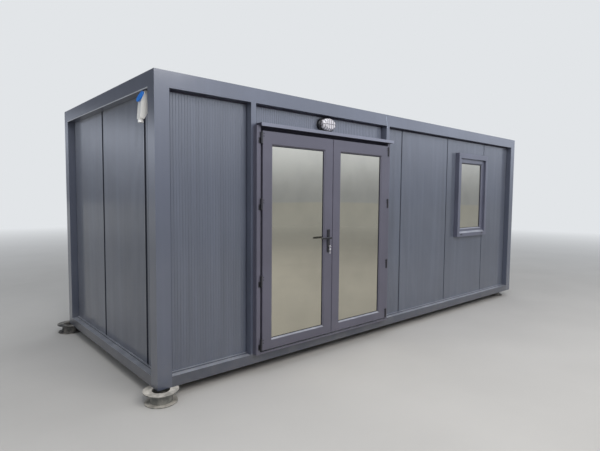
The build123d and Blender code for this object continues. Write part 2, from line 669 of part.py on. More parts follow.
def door_assembly():
    """Door posts, frame, drip rail, leaves, hinges and handle."""
    for name, start in (("left", DOOR_POST_LEFT), ("right", DOOR_POST_RIGHT)):
        with BuildPart() as post:
            with BuildSketch(plan_plane("front", start, RAIL_TOP)):
                bar(0, DOOR_POST, 0, CORNER_POST)
                bar(STEEL, DOOR_POST - STEEL, STEEL, CORNER_POST - STEEL, mode=Mode.SUBTRACT)
            extrude(amount=PANEL_HEIGHT)
        save(post.part, f"door_post_{name}")
    door_jamb("door_jamb_left", -1)
    door_jamb("door_jamb_right", 1)
    face, back = -JAMB_PROUD, JAMB_DEPTH - JAMB_PROUD
    stop = back - STOP_DEPTH
    head_under, head_stop = LEAF_TOP + LEAF_GAP, LEAF_TOP - STOP_LAP
    door_cross_member("door_head", [(0, head_under), (stop, head_under), (stop, head_stop),
                                    (back, head_stop), (back, HEAD_TOP), (0, HEAD_TOP)])
    sill_top, sill_stop = LEAF_BOTTOM - LEAF_GAP, LEAF_BOTTOM + STOP_LAP
    door_cross_member("door_sill", [(face, sill_top - SILL_LIP), (0, sill_top - SILL_LIP), (0, BOTTOM_RAIL),
                                    (back, BOTTOM_RAIL), (back, sill_stop), (stop, sill_stop),
                                    (stop, sill_top), (face, sill_top)])
    for name, sign in (("left", -1), ("right", 1)):
        left = DOOR_CENTRE + (MEETING_GAP / 2 if sign > 0 else -LEAF_OUT)
        drill = (HANDLE_X - LEFT, HANDLE_LEVEL) if sign < 0 else None
        pocket = glazed_frame(f"door_leaf_{name}", left, LEAF_BOTTOM, LEAF_WIDTH, LEAF_HEIGHT,
                              LEAF_FACE_Y, LEAF_THICKNESS, (STILE, FOOT_RAIL, HEAD_RAIL), DOOR_GLASS, drill)
        pane(f"door_glass_{name}", pocket, LEAF_FACE_Y, DOOR_GLASS)
        leaf_hinges(f"leaf_hinges_{name}", sign)
    handle_plates()
    lever_handle()
    frame_hinges("frame_hinges", (-1, 1))
    drip_start = DOOR_POST_LEFT + DOOR_POST
    with BuildPart() as drip:
        with BuildSketch(section_plane("front", drip_start, BASE + HEAD_TOP)):
            bar(-DRIP_REACH, 0, DRIP_HEIGHT - DRIP_SHEET, DRIP_HEIGHT)
            bar(-DRIP_REACH, -DRIP_REACH + DRIP_SHEET, -DRIP_DROP, DRIP_HEIGHT)
            bar(-DRIP_SHEET, 0, 0, DRIP_HEIGHT)
        extrude(amount=POST_OPENING + DRIP_LAP)
        with BuildSketch(section_plane("front", drip_start, BASE + HEAD_TOP)):
            bar(0, PANEL_RECESS, DRIP_HEIGHT - DRIP_SHEET, DRIP_HEIGHT)
        extrude(amount=POST_OPENING)
    save(drip.part, "drip_rail")


def main():
    """Builds every piece of the cabin and writes it to parts/."""
    os.makedirs("parts", exist_ok=True)
    middle_x, middle_y = RIGHT - CORNER_POST / 2, BACK - CORNER_POST / 2
    corner_post("corner_post_front_left", -middle_x, -middle_y)
    corner_post("corner_post_front_right", middle_x, -middle_y)
    corner_post("corner_post_back_left", -middle_x, middle_y)
    corner_post("corner_post_back_right", middle_x, middle_y)
    for side, (_, _, _, length) in SIDES.items():
        ends = (CORNER_POST, length - CORNER_POST)
        if side == "front":
            runs = ((ends[0], DOOR_POST_LEFT), (DOOR_POST_RIGHT + DOOR_POST, ends[1]))
        else:
            runs = (ends,)
        bottom_rail(side, runs)
        top_rail(side)
    floor_and_roof()

    end_x = LENGTH - CORNER_POST
    wall_panel("wall_front_a", "front", CORNER_POST, DOOR_POST_LEFT, tongue=False, groove=False)
    wall_panel("wall_lintel", "front", DOOR_POST_LEFT + DOOR_POST, DOOR_POST_RIGHT, tongue=False, groove=False,
               low=BASE + HEAD_TOP)
    stations = [DOOR_POST_RIGHT + DOOR_POST] + [FRONT_SEAM + i * PANEL_MODULE for i in range(3)] + [end_x]
    window_hole = (WINDOW_LEFT + WINDOW_COVER, WINDOW_LEFT + WINDOW_WIDTH - WINDOW_COVER,
                   WINDOW_BOTTOM + WINDOW_COVER, WINDOW_BOTTOM + WINDOW_HEIGHT - WINDOW_COVER)
    wall_run("front", "bcde", stations, hole_at="d", hole=window_hole)
    end_wall = [CORNER_POST, WIDTH - END_SEAM, WIDTH - END_SEAM + PANEL_MODULE, WIDTH - CORNER_POST]
    wall_run("left", "abc", end_wall)
    wall_run("right", "abc", [WIDTH - s for s in reversed(end_wall)])
    first = LENGTH - FRONT_SEAM - 2 * PANEL_MODULE
    back_wall = [CORNER_POST] + [first + i * PANEL_MODULE for i in range(5)] + [end_x]
    wall_run("back", "abcdef", back_wall)

    door_assembly()
    window_frame()
    edge, foot = SURROUND_SIDE + SASH_GAP, SURROUND_FOOT + SASH_GAP
    pocket = glazed_frame("window_sash", WINDOW_LEFT + edge, WINDOW_BOTTOM + foot, WINDOW_WIDTH - 2 * edge,
                          WINDOW_HEIGHT - foot - SURROUND_HEAD - SASH_GAP, FRONT + SASH_SETBACK, SASH_DEPTH,
                          (SASH_BORDER,) * 3, WINDOW_GLASS)
    pane("window_glass", pocket, FRONT + SASH_SETBACK, WINDOW_GLASS)
    oval_lamp()
    power_inlet()
    support_spools()


main()
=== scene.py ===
"""Looks of the portable site cabin: finishes, small trim, floor, light and camera around the fixed frame."""
import json
import logging
import math
from dataclasses import dataclass, fields, replace
from enum import Enum
from typing import Iterable, Sequence, Union

import bmesh
import bpy
from mathutils import Matrix, Vector


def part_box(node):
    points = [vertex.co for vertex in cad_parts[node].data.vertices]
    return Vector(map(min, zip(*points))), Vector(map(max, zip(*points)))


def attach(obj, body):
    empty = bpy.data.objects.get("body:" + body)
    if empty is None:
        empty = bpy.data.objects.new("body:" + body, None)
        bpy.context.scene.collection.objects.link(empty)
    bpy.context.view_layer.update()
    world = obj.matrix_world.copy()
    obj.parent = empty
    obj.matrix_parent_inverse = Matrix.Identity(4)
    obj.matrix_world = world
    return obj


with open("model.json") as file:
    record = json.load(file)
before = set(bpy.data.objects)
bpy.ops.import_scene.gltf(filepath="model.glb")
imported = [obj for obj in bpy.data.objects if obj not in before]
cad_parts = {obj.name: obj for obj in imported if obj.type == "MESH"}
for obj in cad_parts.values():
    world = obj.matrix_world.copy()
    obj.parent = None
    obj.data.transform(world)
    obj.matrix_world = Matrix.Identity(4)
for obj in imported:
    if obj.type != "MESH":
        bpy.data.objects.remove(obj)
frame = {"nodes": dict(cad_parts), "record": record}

LOG = logging.getLogger("cabin")
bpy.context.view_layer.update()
HAIR = 0.0005    # keeps the faces of two pieces from lying in one plane
MARGIN = 0.001   # left free at the ends of a strip

Socket = bpy.types.NodeSocket
Point = tuple[float, float, float]
Span = tuple[float, float]
Box = tuple[Vector, Vector]


class Slot(Enum):
    """Material slots of the record."""

    FRAME = "frame_paint"
    PANEL = "panel_paint"
    DOOR = "door_plastic"
    GLASS = "glass"
    BLACK = "black_fittings"
    LAMP = "lamp_black"
    LENS = "lamp_lens"
    INLET = "inlet_white"
    CAP = "inlet_blue"
    SPOOL = "spool_metal"
    ROOF = "roof_metal"
    FLOOR = "floor_board"
    CEILING = "ceiling_white"


class Body(Enum):
    """Bodies of the cabin that the trim rides on."""

    CABIN = "root"
    LEFT_LEAF = "door_leaf_left"
    RIGHT_LEAF = "door_leaf_right"


class Wall(Enum):
    """Walls of the cabin: the axis that each runs along, 0 for x and 1 for y, and the way that it faces."""

    FRONT = (0, -1)
    BACK = (0, 1)
    LEFT = (1, -1)
    RIGHT = (1, 1)

    @property
    def label(self) -> str:
        """Returns the wall's name in the names of nodes."""
        return self.name.lower()


@dataclass(frozen=True)
class Shade:
    """A colour as it shows on a screen, 0 to 255 in each channel."""

    red: float
    green: float
    blue: float

    def linear(self) -> tuple[float, float, float, float]:
        """Returns the colour in the linear values that shaders take."""
        shown = [channel / 255 for channel in (self.red, self.green, self.blue)]
        return *(v / 12.92 if v <= 0.04045 else ((v + 0.055) / 1.055) ** 2.4 for v in shown), 1.0

    def scaled(self, factor: float) -> "Shade":
        """Returns a lighter or darker shade, with each channel multiplied by the factor."""
        return Shade(*(min(255.0, c * factor) for c in (self.red, self.green, self.blue)))


DUST = Shade(140, 137, 130)
# pale bluish shade for upward faces: dust, and painted light from above
DUST_AND_TOP_LIGHT = Shade(172, 174, 180)

Value = Union[Socket, float, Sequence[float], Shade]


@dataclass(frozen=True)
class Pattern:
    """Noise fixed to the object: cells per metre, finer layers, and the part of its range that counts.

    The stretch multiplies the object's axes, and a factor under 1 draws the grain out along that axis.
    """

    scale: float
    detail: float
    low: float = 0.0
    high: float = 1.0
    stretch: "Point | None" = None

    def finer(self, factor: float) -> "Pattern":
        """Returns the pattern with that many times the cells per metre."""
        return replace(self, scale=self.scale * factor)


class Nodes:
    """Node tree that is filled by short calls."""

    def __init__(self, tree: bpy.types.NodeTree) -> None:
        """Takes up the tree to fill."""
        self.nodes, self.links = tree.nodes, tree.links

    def feed(self, node: bpy.types.Node, inputs: "dict[str | int, Value]") -> None:
        """Fills inputs of a node.

        Args:
            node: the node.
            inputs: what each input gets, by its name or number: an output to link, a number or a colour.
        """
        for key, value in inputs.items():
            if isinstance(value, Socket):
                self.links.new(value, node.inputs[key])
            else:
                node.inputs[key].default_value = value.linear() if isinstance(value, Shade) else value

    def add(self, kind: str, inputs: "dict[str | int, Value]", **settings: str) -> bpy.types.bpy_prop_collection:
        """Adds a node.

        Args:
            kind: Blender's name of its type.
            inputs: what its inputs get, as for feed.
            settings: its own properties.

        Returns:
            Its outputs.
        """
        node = self.nodes.new(kind)
        for name, value in settings.items():
            setattr(node, name, value)
        self.feed(node, inputs)
        return node.outputs

    def math(self, operation: str, first: Value, second: Value = 0.0) -> Socket:
        """Returns the result of a Math node on one value or two."""
        return self.add("ShaderNodeMath", {0: first, 1: second}, operation=operation)[0]

    def times(self, first: Value, second: Value) -> Socket:
        """Returns the product of two values."""
        return self.math("MULTIPLY", first, second)

    def spread(self, value: Socket, low: float, high: float, start: float = 0.0, end: float = 1.0,
               kind: str = "LINEAR") -> Socket:
        """Returns a value moved from the range low to high into the range start to end, and held inside it."""
        limits = {"From Min": low, "From Max": high, "To Min": start, "To Max": end}
        return self.add("ShaderNodeMapRange", {"Value": value, **limits}, interpolation_type=kind)[0]

    def blend(self, share: Socket, first: Socket, second: Socket) -> Socket:
        """Returns a mix of two shaders, with that share of the second."""
        return self.add("ShaderNodeMixShader", {0: share, 1: first, 2: second})[0]


class Tree(Nodes):
    """Shader tree of one material."""

    def __init__(self, name: str) -> None:
        """Starts a material of that name with one Principled shader.

        Args:
            name: name of the material.
        """
        self.material = bpy.data.materials.new(name)
        self.material.use_nodes = True
        super().__init__(self.material.node_tree)
        self.shader = self.nodes["Principled BSDF"]
        self.place = self.add("ShaderNodeTexCoord", {})["Object"]

    def set(self, **values: Value) -> None:
        """Fills inputs of the Principled shader, named with underscores for spaces."""
        self.feed(self.shader, {name.replace("_", " "): value for name, value in values.items()})

    def noise(self, pattern: Pattern) -> Socket:
        """Returns the bare noise of a pattern.

        Args:
            pattern: the pattern.

        Returns:
            The noise, about 0 to 1.
        """
        place = self.place
        if pattern.stretch:
            place = self.add("ShaderNodeMapping", {"Vector": place, "Scale": pattern.stretch})[0]
        return self.add("ShaderNodeTexNoise", {"Vector": place, "Scale": pattern.scale, "Detail": pattern.detail})[0]

    def cloud(self, pattern: Pattern, start: float = 0.0, end: float = 1.0) -> Socket:
        """Returns a pattern's noise, moved from its own range into the range start to end."""
        return self.spread(self.noise(pattern), pattern.low, pattern.high, start, end)

    def axes(self) -> tuple[Socket, Socket, Socket]:
        """Returns the three coordinates of a point of the object, in metres."""
        return tuple(self.add("ShaderNodeSeparateXYZ", {0: self.place}))

    def upward(self, low: float = 0.3, high: float = 0.8) -> Socket:
        """Returns how far a face looks up: 0 where its normal's z is low, 1 where that is high."""
        normal = self.add("ShaderNodeNewGeometry", {})["Normal"]
        return self.spread(self.add("ShaderNodeSeparateXYZ", {0: normal})[2], low, high)

    def mix(self, share: Value, first: Value, second: Value) -> Socket:
        """Returns a mix of two colours, with that share of the second."""
        return self.add("ShaderNodeMix", {0: share, 6: first, 7: second}, data_type="RGBA")[2]

    def settle(self, colour: Socket, patch: Socket, least: float, most: float) -> Socket:
        """Returns a colour with dust and painted top light on what looks up, from least to most of it as the patches
        go.
        """
        return self.mix(self.times(self.upward(), self.spread(patch, 0.0, 1.0, least, most)), colour, DUST_AND_TOP_LIGHT)

    def bump(self, height: Socket, depth: float, strength: float = 0.5) -> None:
        """Gives the shader a fine relief, with its depth in metres and the share of it that shows."""
        self.set(Normal=self.add("ShaderNodeBump", {"Height": height, "Distance": depth, "Strength": strength})[0])


@dataclass(frozen=True)
class RibDirt:
    """Painted shade with some dirt in the grooves of ribbed sheet, and painted highlights on their edges, less of both
    low down.
    """

    pitch: float = 0.025
    groove: Span = (0.002, 0.0052)
    edge_rise: Span = (0.0044, 0.0056)
    edge_fall: Span = (0.0068, 0.0088)
    long_walls_from: float = 1.1
    fade: Span = (1.2, 2.3)
    low_share: float = 0.4
    least: float = 0.04
    # dirt: shade of the grooves, painted shade with some dirt in it
    dirt: Shade = Shade(34, 36, 46)
    dirt_share: float = 0.22
    # worn: shade of the painted highlight on the rib edges
    worn: Shade = Shade(128, 135, 152)
    worn_share: float = 0.24

    PATCHES = Pattern(2.6, 3.0, 0.44, 0.62, (1.0, 1.0, 0.4))

    def over(self, tree: Tree, colour: Socket) -> Socket:
        """Lays the painted groove shade with its dirt, and the painted edge highlights, over a colour.

        Args:
            tree: the tree of the finish.
            colour: the sheet's own colour.

        Returns:
            The colour with both on it.
        """
        x, y, z = tree.axes()
        long_wall = tree.math("GREATER_THAN", tree.math("ABSOLUTE", y), self.long_walls_from)
        along = tree.math("ADD", tree.times(long_wall, x), tree.times(tree.math("SUBTRACT", 1.0, long_wall), y))
        off = tree.math("PINGPONG", along, self.pitch / 2)
        patch = tree.times(tree.cloud(self.PATCHES, self.least), tree.spread(z, *self.fade, self.low_share))
        # painted shade in the grooves, painted highlights on the rib edges
        dirt = tree.times(tree.spread(off, *self.groove, self.dirt_share, 0.0), patch)
        edges = tree.times(tree.spread(off, *self.edge_rise), tree.spread(off, *self.edge_fall, self.worn_share, 0.0))
        return tree.mix(tree.times(edges, patch), tree.mix(dirt, colour, self.dirt), self.worn)


@dataclass(frozen=True)
class PaintFinish:
    """Paint or coating on sheet steel, with faint clouds, rain streaks, dust low down, and dust with painted top light
    on what looks up.
    """

    name: str
    shade: Shade
    roughness: float
    coat: float
    coat_roughness: float = 0.2
    streaks: float = 0.08
    inner: "Shade | None" = None
    ribs: "RibDirt | None" = None

    COAT_IOR = 1.6
    TONES = (0.95, 1.05)
    CLOUDS = Pattern(0.9, 5.0, 0.35, 0.65)
    STREAKS = ((Pattern(13.0, 3.0, 0.44, 0.74, (1.0, 1.0, 0.04)), 1.35),
               (Pattern(6.0, 2.0, 0.48, 0.72, (1.0, 1.0, 0.03)), 0.78))
    DUST_PATCHES = Pattern(7.0, 6.0, 0.38, 0.7)
    DUST_LEVELS = (0.1, 0.55)
    DUST_FALL = 2.2
    DUST_SHARE = 0.15
    DUST_DULLS = 0.4
    SETTLED = (0.45, 0.7)
    INNER_HALF = (2.9095, 1.0995)
    WEAR = Pattern(3.1, 5.0, 0.3, 0.7)
    SHINIER, DULLER = 0.03, 0.05
    GRAIN = Pattern(420.0, 2.0)
    GRAIN_DEPTH, GRAIN_SHOWS = 0.00004, 0.5

    def material(self) -> bpy.types.Material:
        """Makes the finish into a material.

        Returns:
            The material.
        """
        tree = Tree(self.name)
        x, y, z = tree.axes()
        colour = tree.mix(tree.cloud(self.CLOUDS), *(self.shade.scaled(tone) for tone in self.TONES))
        for pattern, tone in self.STREAKS:
            colour = tree.mix(tree.times(tree.cloud(pattern), self.streaks), colour, self.shade.scaled(tone))
        foot = tree.math("POWER", tree.spread(z, *self.DUST_LEVELS, 1.0, 0.0), self.DUST_FALL)
        patch = tree.cloud(self.DUST_PATCHES)
        dust = tree.times(tree.times(foot, patch), self.DUST_SHARE)
        # upward faces lighter: dust and painted top light
        colour = tree.settle(tree.mix(dust, colour, DUST), patch, *self.SETTLED)
        if self.ribs:
            colour = self.ribs.over(tree, colour)
        if self.inner:
            inside = [tree.math("LESS_THAN", tree.math("ABSOLUTE", axis), half)
                      for axis, half in zip((x, y), self.INNER_HALF)]
            colour = tree.mix(tree.times(*inside), colour, self.inner)
        worn = tree.cloud(self.WEAR, self.roughness - self.SHINIER, self.roughness + self.DULLER)
        tree.set(Base_Color=colour, Roughness=tree.math("ADD", worn, tree.times(dust, self.DUST_DULLS)),
                 Coat_Weight=self.coat, Coat_Roughness=self.coat_roughness, Coat_IOR=self.COAT_IOR)
        tree.bump(tree.noise(self.GRAIN), self.GRAIN_DEPTH, self.GRAIN_SHOWS)
        return tree.material


@dataclass(frozen=True)
class FoilFinish(PaintFinish):
    """Grained foil on extruded door and window profiles, which ages as paint does."""

    roughness: float = 0.38
    coat: float = 0.3
    coat_roughness: float = 0.304
    streaks: float = 0.22

    COAT_IOR = 1.5
    TONES = (0.96, 1.05)
    CLOUDS = Pattern(2.3, 5.0, 0.35, 0.65)
    GRAIN = Pattern(900.0, 3.0, 0.4, 0.7, (1.0, 1.0, 0.05))
    GRAIN_DEPTH, GRAIN_SHOWS = 0.00015, 0.6
    STREAKS = ((GRAIN, 0.86),)
    DUST_PATCHES = Pattern(9.0, 5.0, 0.4, 0.7)
    DUST_LEVELS = (0.17, 0.5)
    DUST_FALL, DUST_SHARE, DUST_DULLS = 1.0, 0.05, 0.0
    SETTLED = (0.45, 0.8)
    WEAR = Pattern(5.0, 4.0, 0.3, 0.7)
    SHINIER, DULLER = 0.05, 0.07


@dataclass(frozen=True)
class MouldedFinish:
    """Moulded plastic or powder-coated fitting, with grime in patches and an uneven gloss.

    The grime's patches have the shade SOILED, or the finish's own shade times that number.
    """

    name: str
    shade: Shade
    roughness: float
    coat: float = 0.0
    grime: float = 0.12
    metallic: float = 0.0
    specular: float = 0.5

    GRIME = Pattern(38.0, 6.0, 0.45, 0.8)
    WEAR = Pattern(60.0, 4.0, 0.3, 0.7)
    SHINIER, DULLER = 0.05, 0.08
    SOILED = DUST.scaled(0.7)
    GRAIN = Pattern(1500.0, 2.0)
    GRAIN_DEPTH, GRAIN_SHOWS = 0.00006, 0.5

    def material(self) -> bpy.types.Material:
        """Makes the finish into a material.

        Returns:
            The material.
        """
        tree = Tree(self.name)
        soiled = self.shade.scaled(self.SOILED) if isinstance(self.SOILED, float) else self.SOILED
        colour = tree.mix(tree.cloud(self.GRIME, 0.0, self.grime), self.shade, soiled)
        tree.set(Base_Color=colour, Coat_Weight=self.coat, Metallic=self.metallic, Specular_IOR_Level=self.specular,
                 Roughness=tree.cloud(self.WEAR, self.roughness - self.SHINIER, self.roughness + self.DULLER))
        tree.bump(tree.noise(self.GRAIN), self.GRAIN_DEPTH, self.GRAIN_SHOWS)
        return tree.material


@dataclass(frozen=True)
class RubberFinish(MouldedFinish):
    """Dull black rubber, foam or brush, a little dusty."""

    shade: Shade = Shade(29, 32, 42)
    roughness: float = 0.85
    grime: float = 0.1
    specular: float = 0.12

    GRIME = Pattern(48.0, 5.0, 0.5, 0.8)
    WEAR = Pattern(90.0, 3.0, 0.3, 0.7)
    SHINIER, DULLER = 0.1, 0.1
    SOILED = DUST
    GRAIN = Pattern(700.0, 2.0)
    GRAIN_DEPTH = 0.0001


@dataclass(frozen=True)
class MetalFinish(MouldedFinish):
    """Plated or bare metal with fine wear."""

    roughness: float = 0.28
    grime: float = 1.0
    metallic: float = 0.35

    GRIME = WEAR = Pattern(160.0, 5.0, 0.35, 0.7)
    SHINIER, DULLER = 0.06, 0.12
    SOILED = 0.82
    GRAIN = Pattern(900.0, 2.0)
    GRAIN_DEPTH = 0.00004


@dataclass(frozen=True)
class MirrorFinish(MouldedFinish):
    """Sun-control glass with a faint film of dust, not quite flat."""

    roughness: float = 0.0
    grime: float = 1.0
    metallic: float = 0.92

    GRIME = WEAR = Pattern(3.0, 6.0, 0.45, 0.75)
    SHINIER, DULLER = 0.0, 0.04
    SOILED = 0.95
    GRAIN = Pattern(1.7, 1.0)
    GRAIN_DEPTH, GRAIN_SHOWS = 0.0012, 0.25


@dataclass(frozen=True)
class LensFinish:
    """Fluted clear moulding with painted shade in the gaps between the flutes and in the groove along its middle, and a
    dark foot.
    """

    name: str
    shade: Shade
    gap: Shade
    foot: Shade
    centre: Span = (-1.207, 2.3215)
    pitch: float = 0.026
    flute: Span = (0.0072, 0.0100)
    line: Span = (0.0025, 0.0050)
    foot_y: Span = (-1.1985, -1.1945)
    gap_share: float = 0.85
    cloud_share: float = 0.25
    coat: float = 0.5

    CLOUDS = Pattern(55.0, 4.0, 0.35, 0.7)
    RELIEF = Pattern(400.0, 2.0)
    RELIEF_DEPTH = 0.00008
    CLOUD_TONE = 0.78
    GLOSS = (0.14, 0.26)

    def material(self) -> bpy.types.Material:
        """Makes the finish into a material.

        Returns:
            The material.
        """
        tree = Tree(self.name)
        x, y, z = tree.axes()
        gap = tree.spread(tree.math("PINGPONG", tree.math("SUBTRACT", x, self.centre[0]), self.pitch / 2), *self.flute)
        across = tree.math("ABSOLUTE", tree.math("SUBTRACT", z, self.centre[1]))
        line = tree.spread(across, *self.line, 1.0, 0.0)
        clouds = tree.cloud(self.CLOUDS, 0.0, self.cloud_share)
        colour = tree.mix(clouds, self.shade, self.shade.scaled(self.CLOUD_TONE))
        # painted shade in the gaps between the flutes and in the middle groove
        colour = tree.mix(tree.times(tree.math("MAXIMUM", gap, line), self.gap_share), colour, self.gap)
        colour = tree.mix(tree.spread(y, *self.foot_y), colour, self.foot)
        tree.set(Base_Color=colour, Roughness=tree.spread(clouds, 0.0, self.cloud_share, *self.GLOSS),
                 Coat_Weight=self.coat)
        tree.bump(tree.noise(self.RELIEF), self.RELIEF_DEPTH)
        return tree.material


@dataclass(frozen=True)
class WeatheredFinish:
    """Bare or coated metal under dirt: spool feet and roof sheet.

    Where sides is given, upright faces have that colour, a painted shade that leaves the tops lighter. Where
    dark_from is given, pieces past that x, or behind the cabin's middle, take the dark colour. The patterns have
    their cells per metre at a patch_scale of 1.
    """

    name: str
    clean: Shade
    dirty: Shade
    metallic: float
    roughness: float
    patch_scale: float
    sides: "Shade | None" = None
    dark_from: "float | None" = None
    dark: Shade = Shade(42, 42, 42)
    thin_dirt: float = 0.35
    relief: float = 0.0006

    PATCHES = Pattern(1.0, 8.0, 0.36, 0.64)
    SPECKS = Pattern(9.0, 4.0, 0.56, 0.74)
    SPECK_SHARE, SPECK_TONE = 0.5, 0.55
    TOP = (0.2, 0.7)
    SHINIER, DULLER = 0.1, 0.15
    GRAIN = Pattern(20.0, 6.0)

    def material(self) -> bpy.types.Material:
        """Makes the finish into a material.

        Returns:
            The material.
        """
        tree = Tree(self.name)
        patch = tree.cloud(self.PATCHES.finer(self.patch_scale))
        thin = tree.times(patch, self.thin_dirt)
        specks = tree.cloud(self.SPECKS.finer(self.patch_scale), 0.0, self.SPECK_SHARE)
        colour = tree.mix(specks, tree.mix(patch, self.clean, self.dirty), self.clean.scaled(self.SPECK_TONE))
        if self.sides:
            # upright faces darker than the tops: painted shade, with thin dirt
            colour = tree.mix(tree.upward(*self.TOP), tree.mix(thin, self.sides, self.dirty), colour)
        if self.dark_from is not None:
            x, y, _ = tree.axes()
            far = tree.math("MAXIMUM", tree.math("GREATER_THAN", x, self.dark_from), tree.math("GREATER_THAN", y, 0.0))
            colour = tree.mix(far, colour, tree.mix(thin, self.dark, self.dirty))
        tree.set(Base_Color=colour, Metallic=self.metallic,
                 Roughness=tree.spread(patch, 0.0, 1.0, self.roughness - self.SHINIER, self.roughness + self.DULLER))
        tree.bump(tree.noise(self.GRAIN.finer(self.patch_scale)), self.relief)
        return tree.material


@dataclass(frozen=True)
class BoardFinish:
    """Vinyl-covered floor board with a wood grain."""

    name: str
    light: Shade
    deep: Shade
    plank: float = 0.18
    seam: float = 0.012
    tone: float = 0.35

    GRAIN = Pattern(18.0, 8.0, 0.35, 0.65, (0.08, 1.0, 1.0))
    GRAIN_DEPTH = 0.0002
    GLOSS = (0.38, 0.52)
    SEAM_TONE = 0.5

    def material(self) -> bpy.types.Material:
        """Makes the finish into a material.

        Returns:
            The material.
        """
        tree = Tree(self.name)
        rows = tree.math("DIVIDE", tree.axes()[1], self.plank)
        seam = tree.math("LESS_THAN", tree.math("FRACT", rows), self.seam)
        tone = tree.add("ShaderNodeTexWhiteNoise", {"W": tree.math("FLOOR", rows)}, noise_dimensions="1D")["Value"]
        grain = tree.cloud(self.GRAIN)
        colour = tree.mix(tree.times(tone, self.tone), tree.mix(grain, self.light, self.deep), self.deep)
        colour = tree.mix(seam, colour, self.deep.scaled(self.SEAM_TONE))
        tree.set(Base_Color=colour, Roughness=tree.spread(grain, 0.0, 1.0, *self.GLOSS))
        tree.bump(grain, self.GRAIN_DEPTH)
        return tree.material


class Palette:
    """All finishes of the cabin, each made once."""

    def __init__(self) -> None:
        """Makes the materials."""
        self.rubber = RubberFinish("black_rubber").material()
        # dull dark finish of the strips that paint the shadow under the drip rail and under the top rails
        self.brush = RubberFinish("brush_pile", Shade(62, 60, 72)).material()
        self.worn = PaintFinish("worn_paint", Shade(122, 130, 146), 0.4, 0.6).material()
        # bright metal finish that paints the highlight on the end rails' lower edges
        self.bare = MetalFinish("bare_edge", Shade(206, 207, 210), 0.4).material()
        self.nickel = MetalFinish("key_nickel", Shade(238, 236, 242)).material()
        inner = Shade(226, 227, 225)
        finishes = {
            # drip rail: lighter than the frame paint, its own purple-grey tone and a painted reflection of the sky on
            # its lip
            ("drip_rail",): PaintFinish("drip_paint", Shade(104, 106, 122), 0.38, 1.0, 0.16),
            # bottom rails: a darker copy of the frame paint, painted shade with some dirt
            tuple(f"bottom_rail_{wall.label}" for wall in Wall):
                PaintFinish("lower_rail_paint", Shade(60, 63, 74), 0.42, 0.8),
            # the lintel's ribs get stronger painted groove shade and painted edge highlights
            ("wall_lintel",): PaintFinish("lintel_coating", Shade(76, 81, 96), 0.38, 1.0, 0.12, inner=inner,
                                          ribs=RibDirt(least=0.7, dirt_share=0.6, worn_share=0.75)),
            ("window_frame", "window_sash"): FoilFinish("window_foil", Shade(86, 88, 104), 0.34, 0.6, 0.272),
            (Slot.FRAME,): PaintFinish("frame_paint", Shade(78, 83, 98), 0.38, 1.0, 0.14),
            (Slot.PANEL,): PaintFinish("panel_coating", Shade(77, 82, 95), 0.38, 1.0, 0.12, 0.26, inner, RibDirt()),
            (Slot.DOOR,): FoilFinish("door_foil", Shade(84, 82, 95)),
            (Slot.GLASS,): MirrorFinish("mirror_glass", Shade(190, 186, 171)),
            (Slot.BLACK,): MouldedFinish("black_fittings", Shade(22, 21, 26), 0.34),
            (Slot.LAMP,): MouldedFinish("lamp_housing", Shade(18, 18, 22), 0.4),
            (Slot.LENS,): LensFinish("lamp_lens", Shade(222, 219, 224), Shade(96, 92, 98), Shade(20, 20, 24)),
            (Slot.INLET,): MouldedFinish("inlet_white", Shade(254, 252, 247), 0.34, 0.8, 0.06),
            (Slot.CAP,): MouldedFinish("inlet_cap", Shade(0, 118, 216), 0.34, grime=0.1),
            # the spools' third shade is the painted shade on their upright faces
            (Slot.SPOOL,): WeatheredFinish("spool_metal", Shade(138, 134, 126), Shade(204, 198, 188), 0.1, 0.75, 14.0,
                                           Shade(84, 86, 82), -2.0),
            (Slot.ROOF,): WeatheredFinish("roof_sheet", Shade(126, 131, 138), Shade(110, 110, 108), 0.25, 0.45, 1.6),
            (Slot.FLOOR,): BoardFinish("floor_board", Shade(164, 132, 98), Shade(118, 88, 60)),
            (Slot.CEILING,): MouldedFinish("ceiling_skin", Shade(228, 228, 226), 0.45, grime=0.05),
        }
        self.made: "dict[Slot | str, bpy.types.Material]" = {}
        for keys, finish in finishes.items():
            self.made |= dict.fromkeys(keys, finish.material())

    def of(self, slot: Slot, node: str = "") -> bpy.types.Material:
        """Returns a node's own material, or else the one of its slot."""
        return self.made.get(node, self.made[slot])


@dataclass(frozen=True)
class Fastener:
    """Sizes of a screw's head and washer, and the number of the head's sides."""

    head_radius: float = 0.004
    head_height: float = 0.003
    washer_radius: float = 0.007
    washer_height: float = 0.001
    sides: int = 6

    def inputs(self) -> "dict[str, float | int]":
        """Returns the sizes by the names that the tree's inputs have."""
        return {field.name.replace("_", " ").title(): getattr(self, field.name) for field in fields(self)}


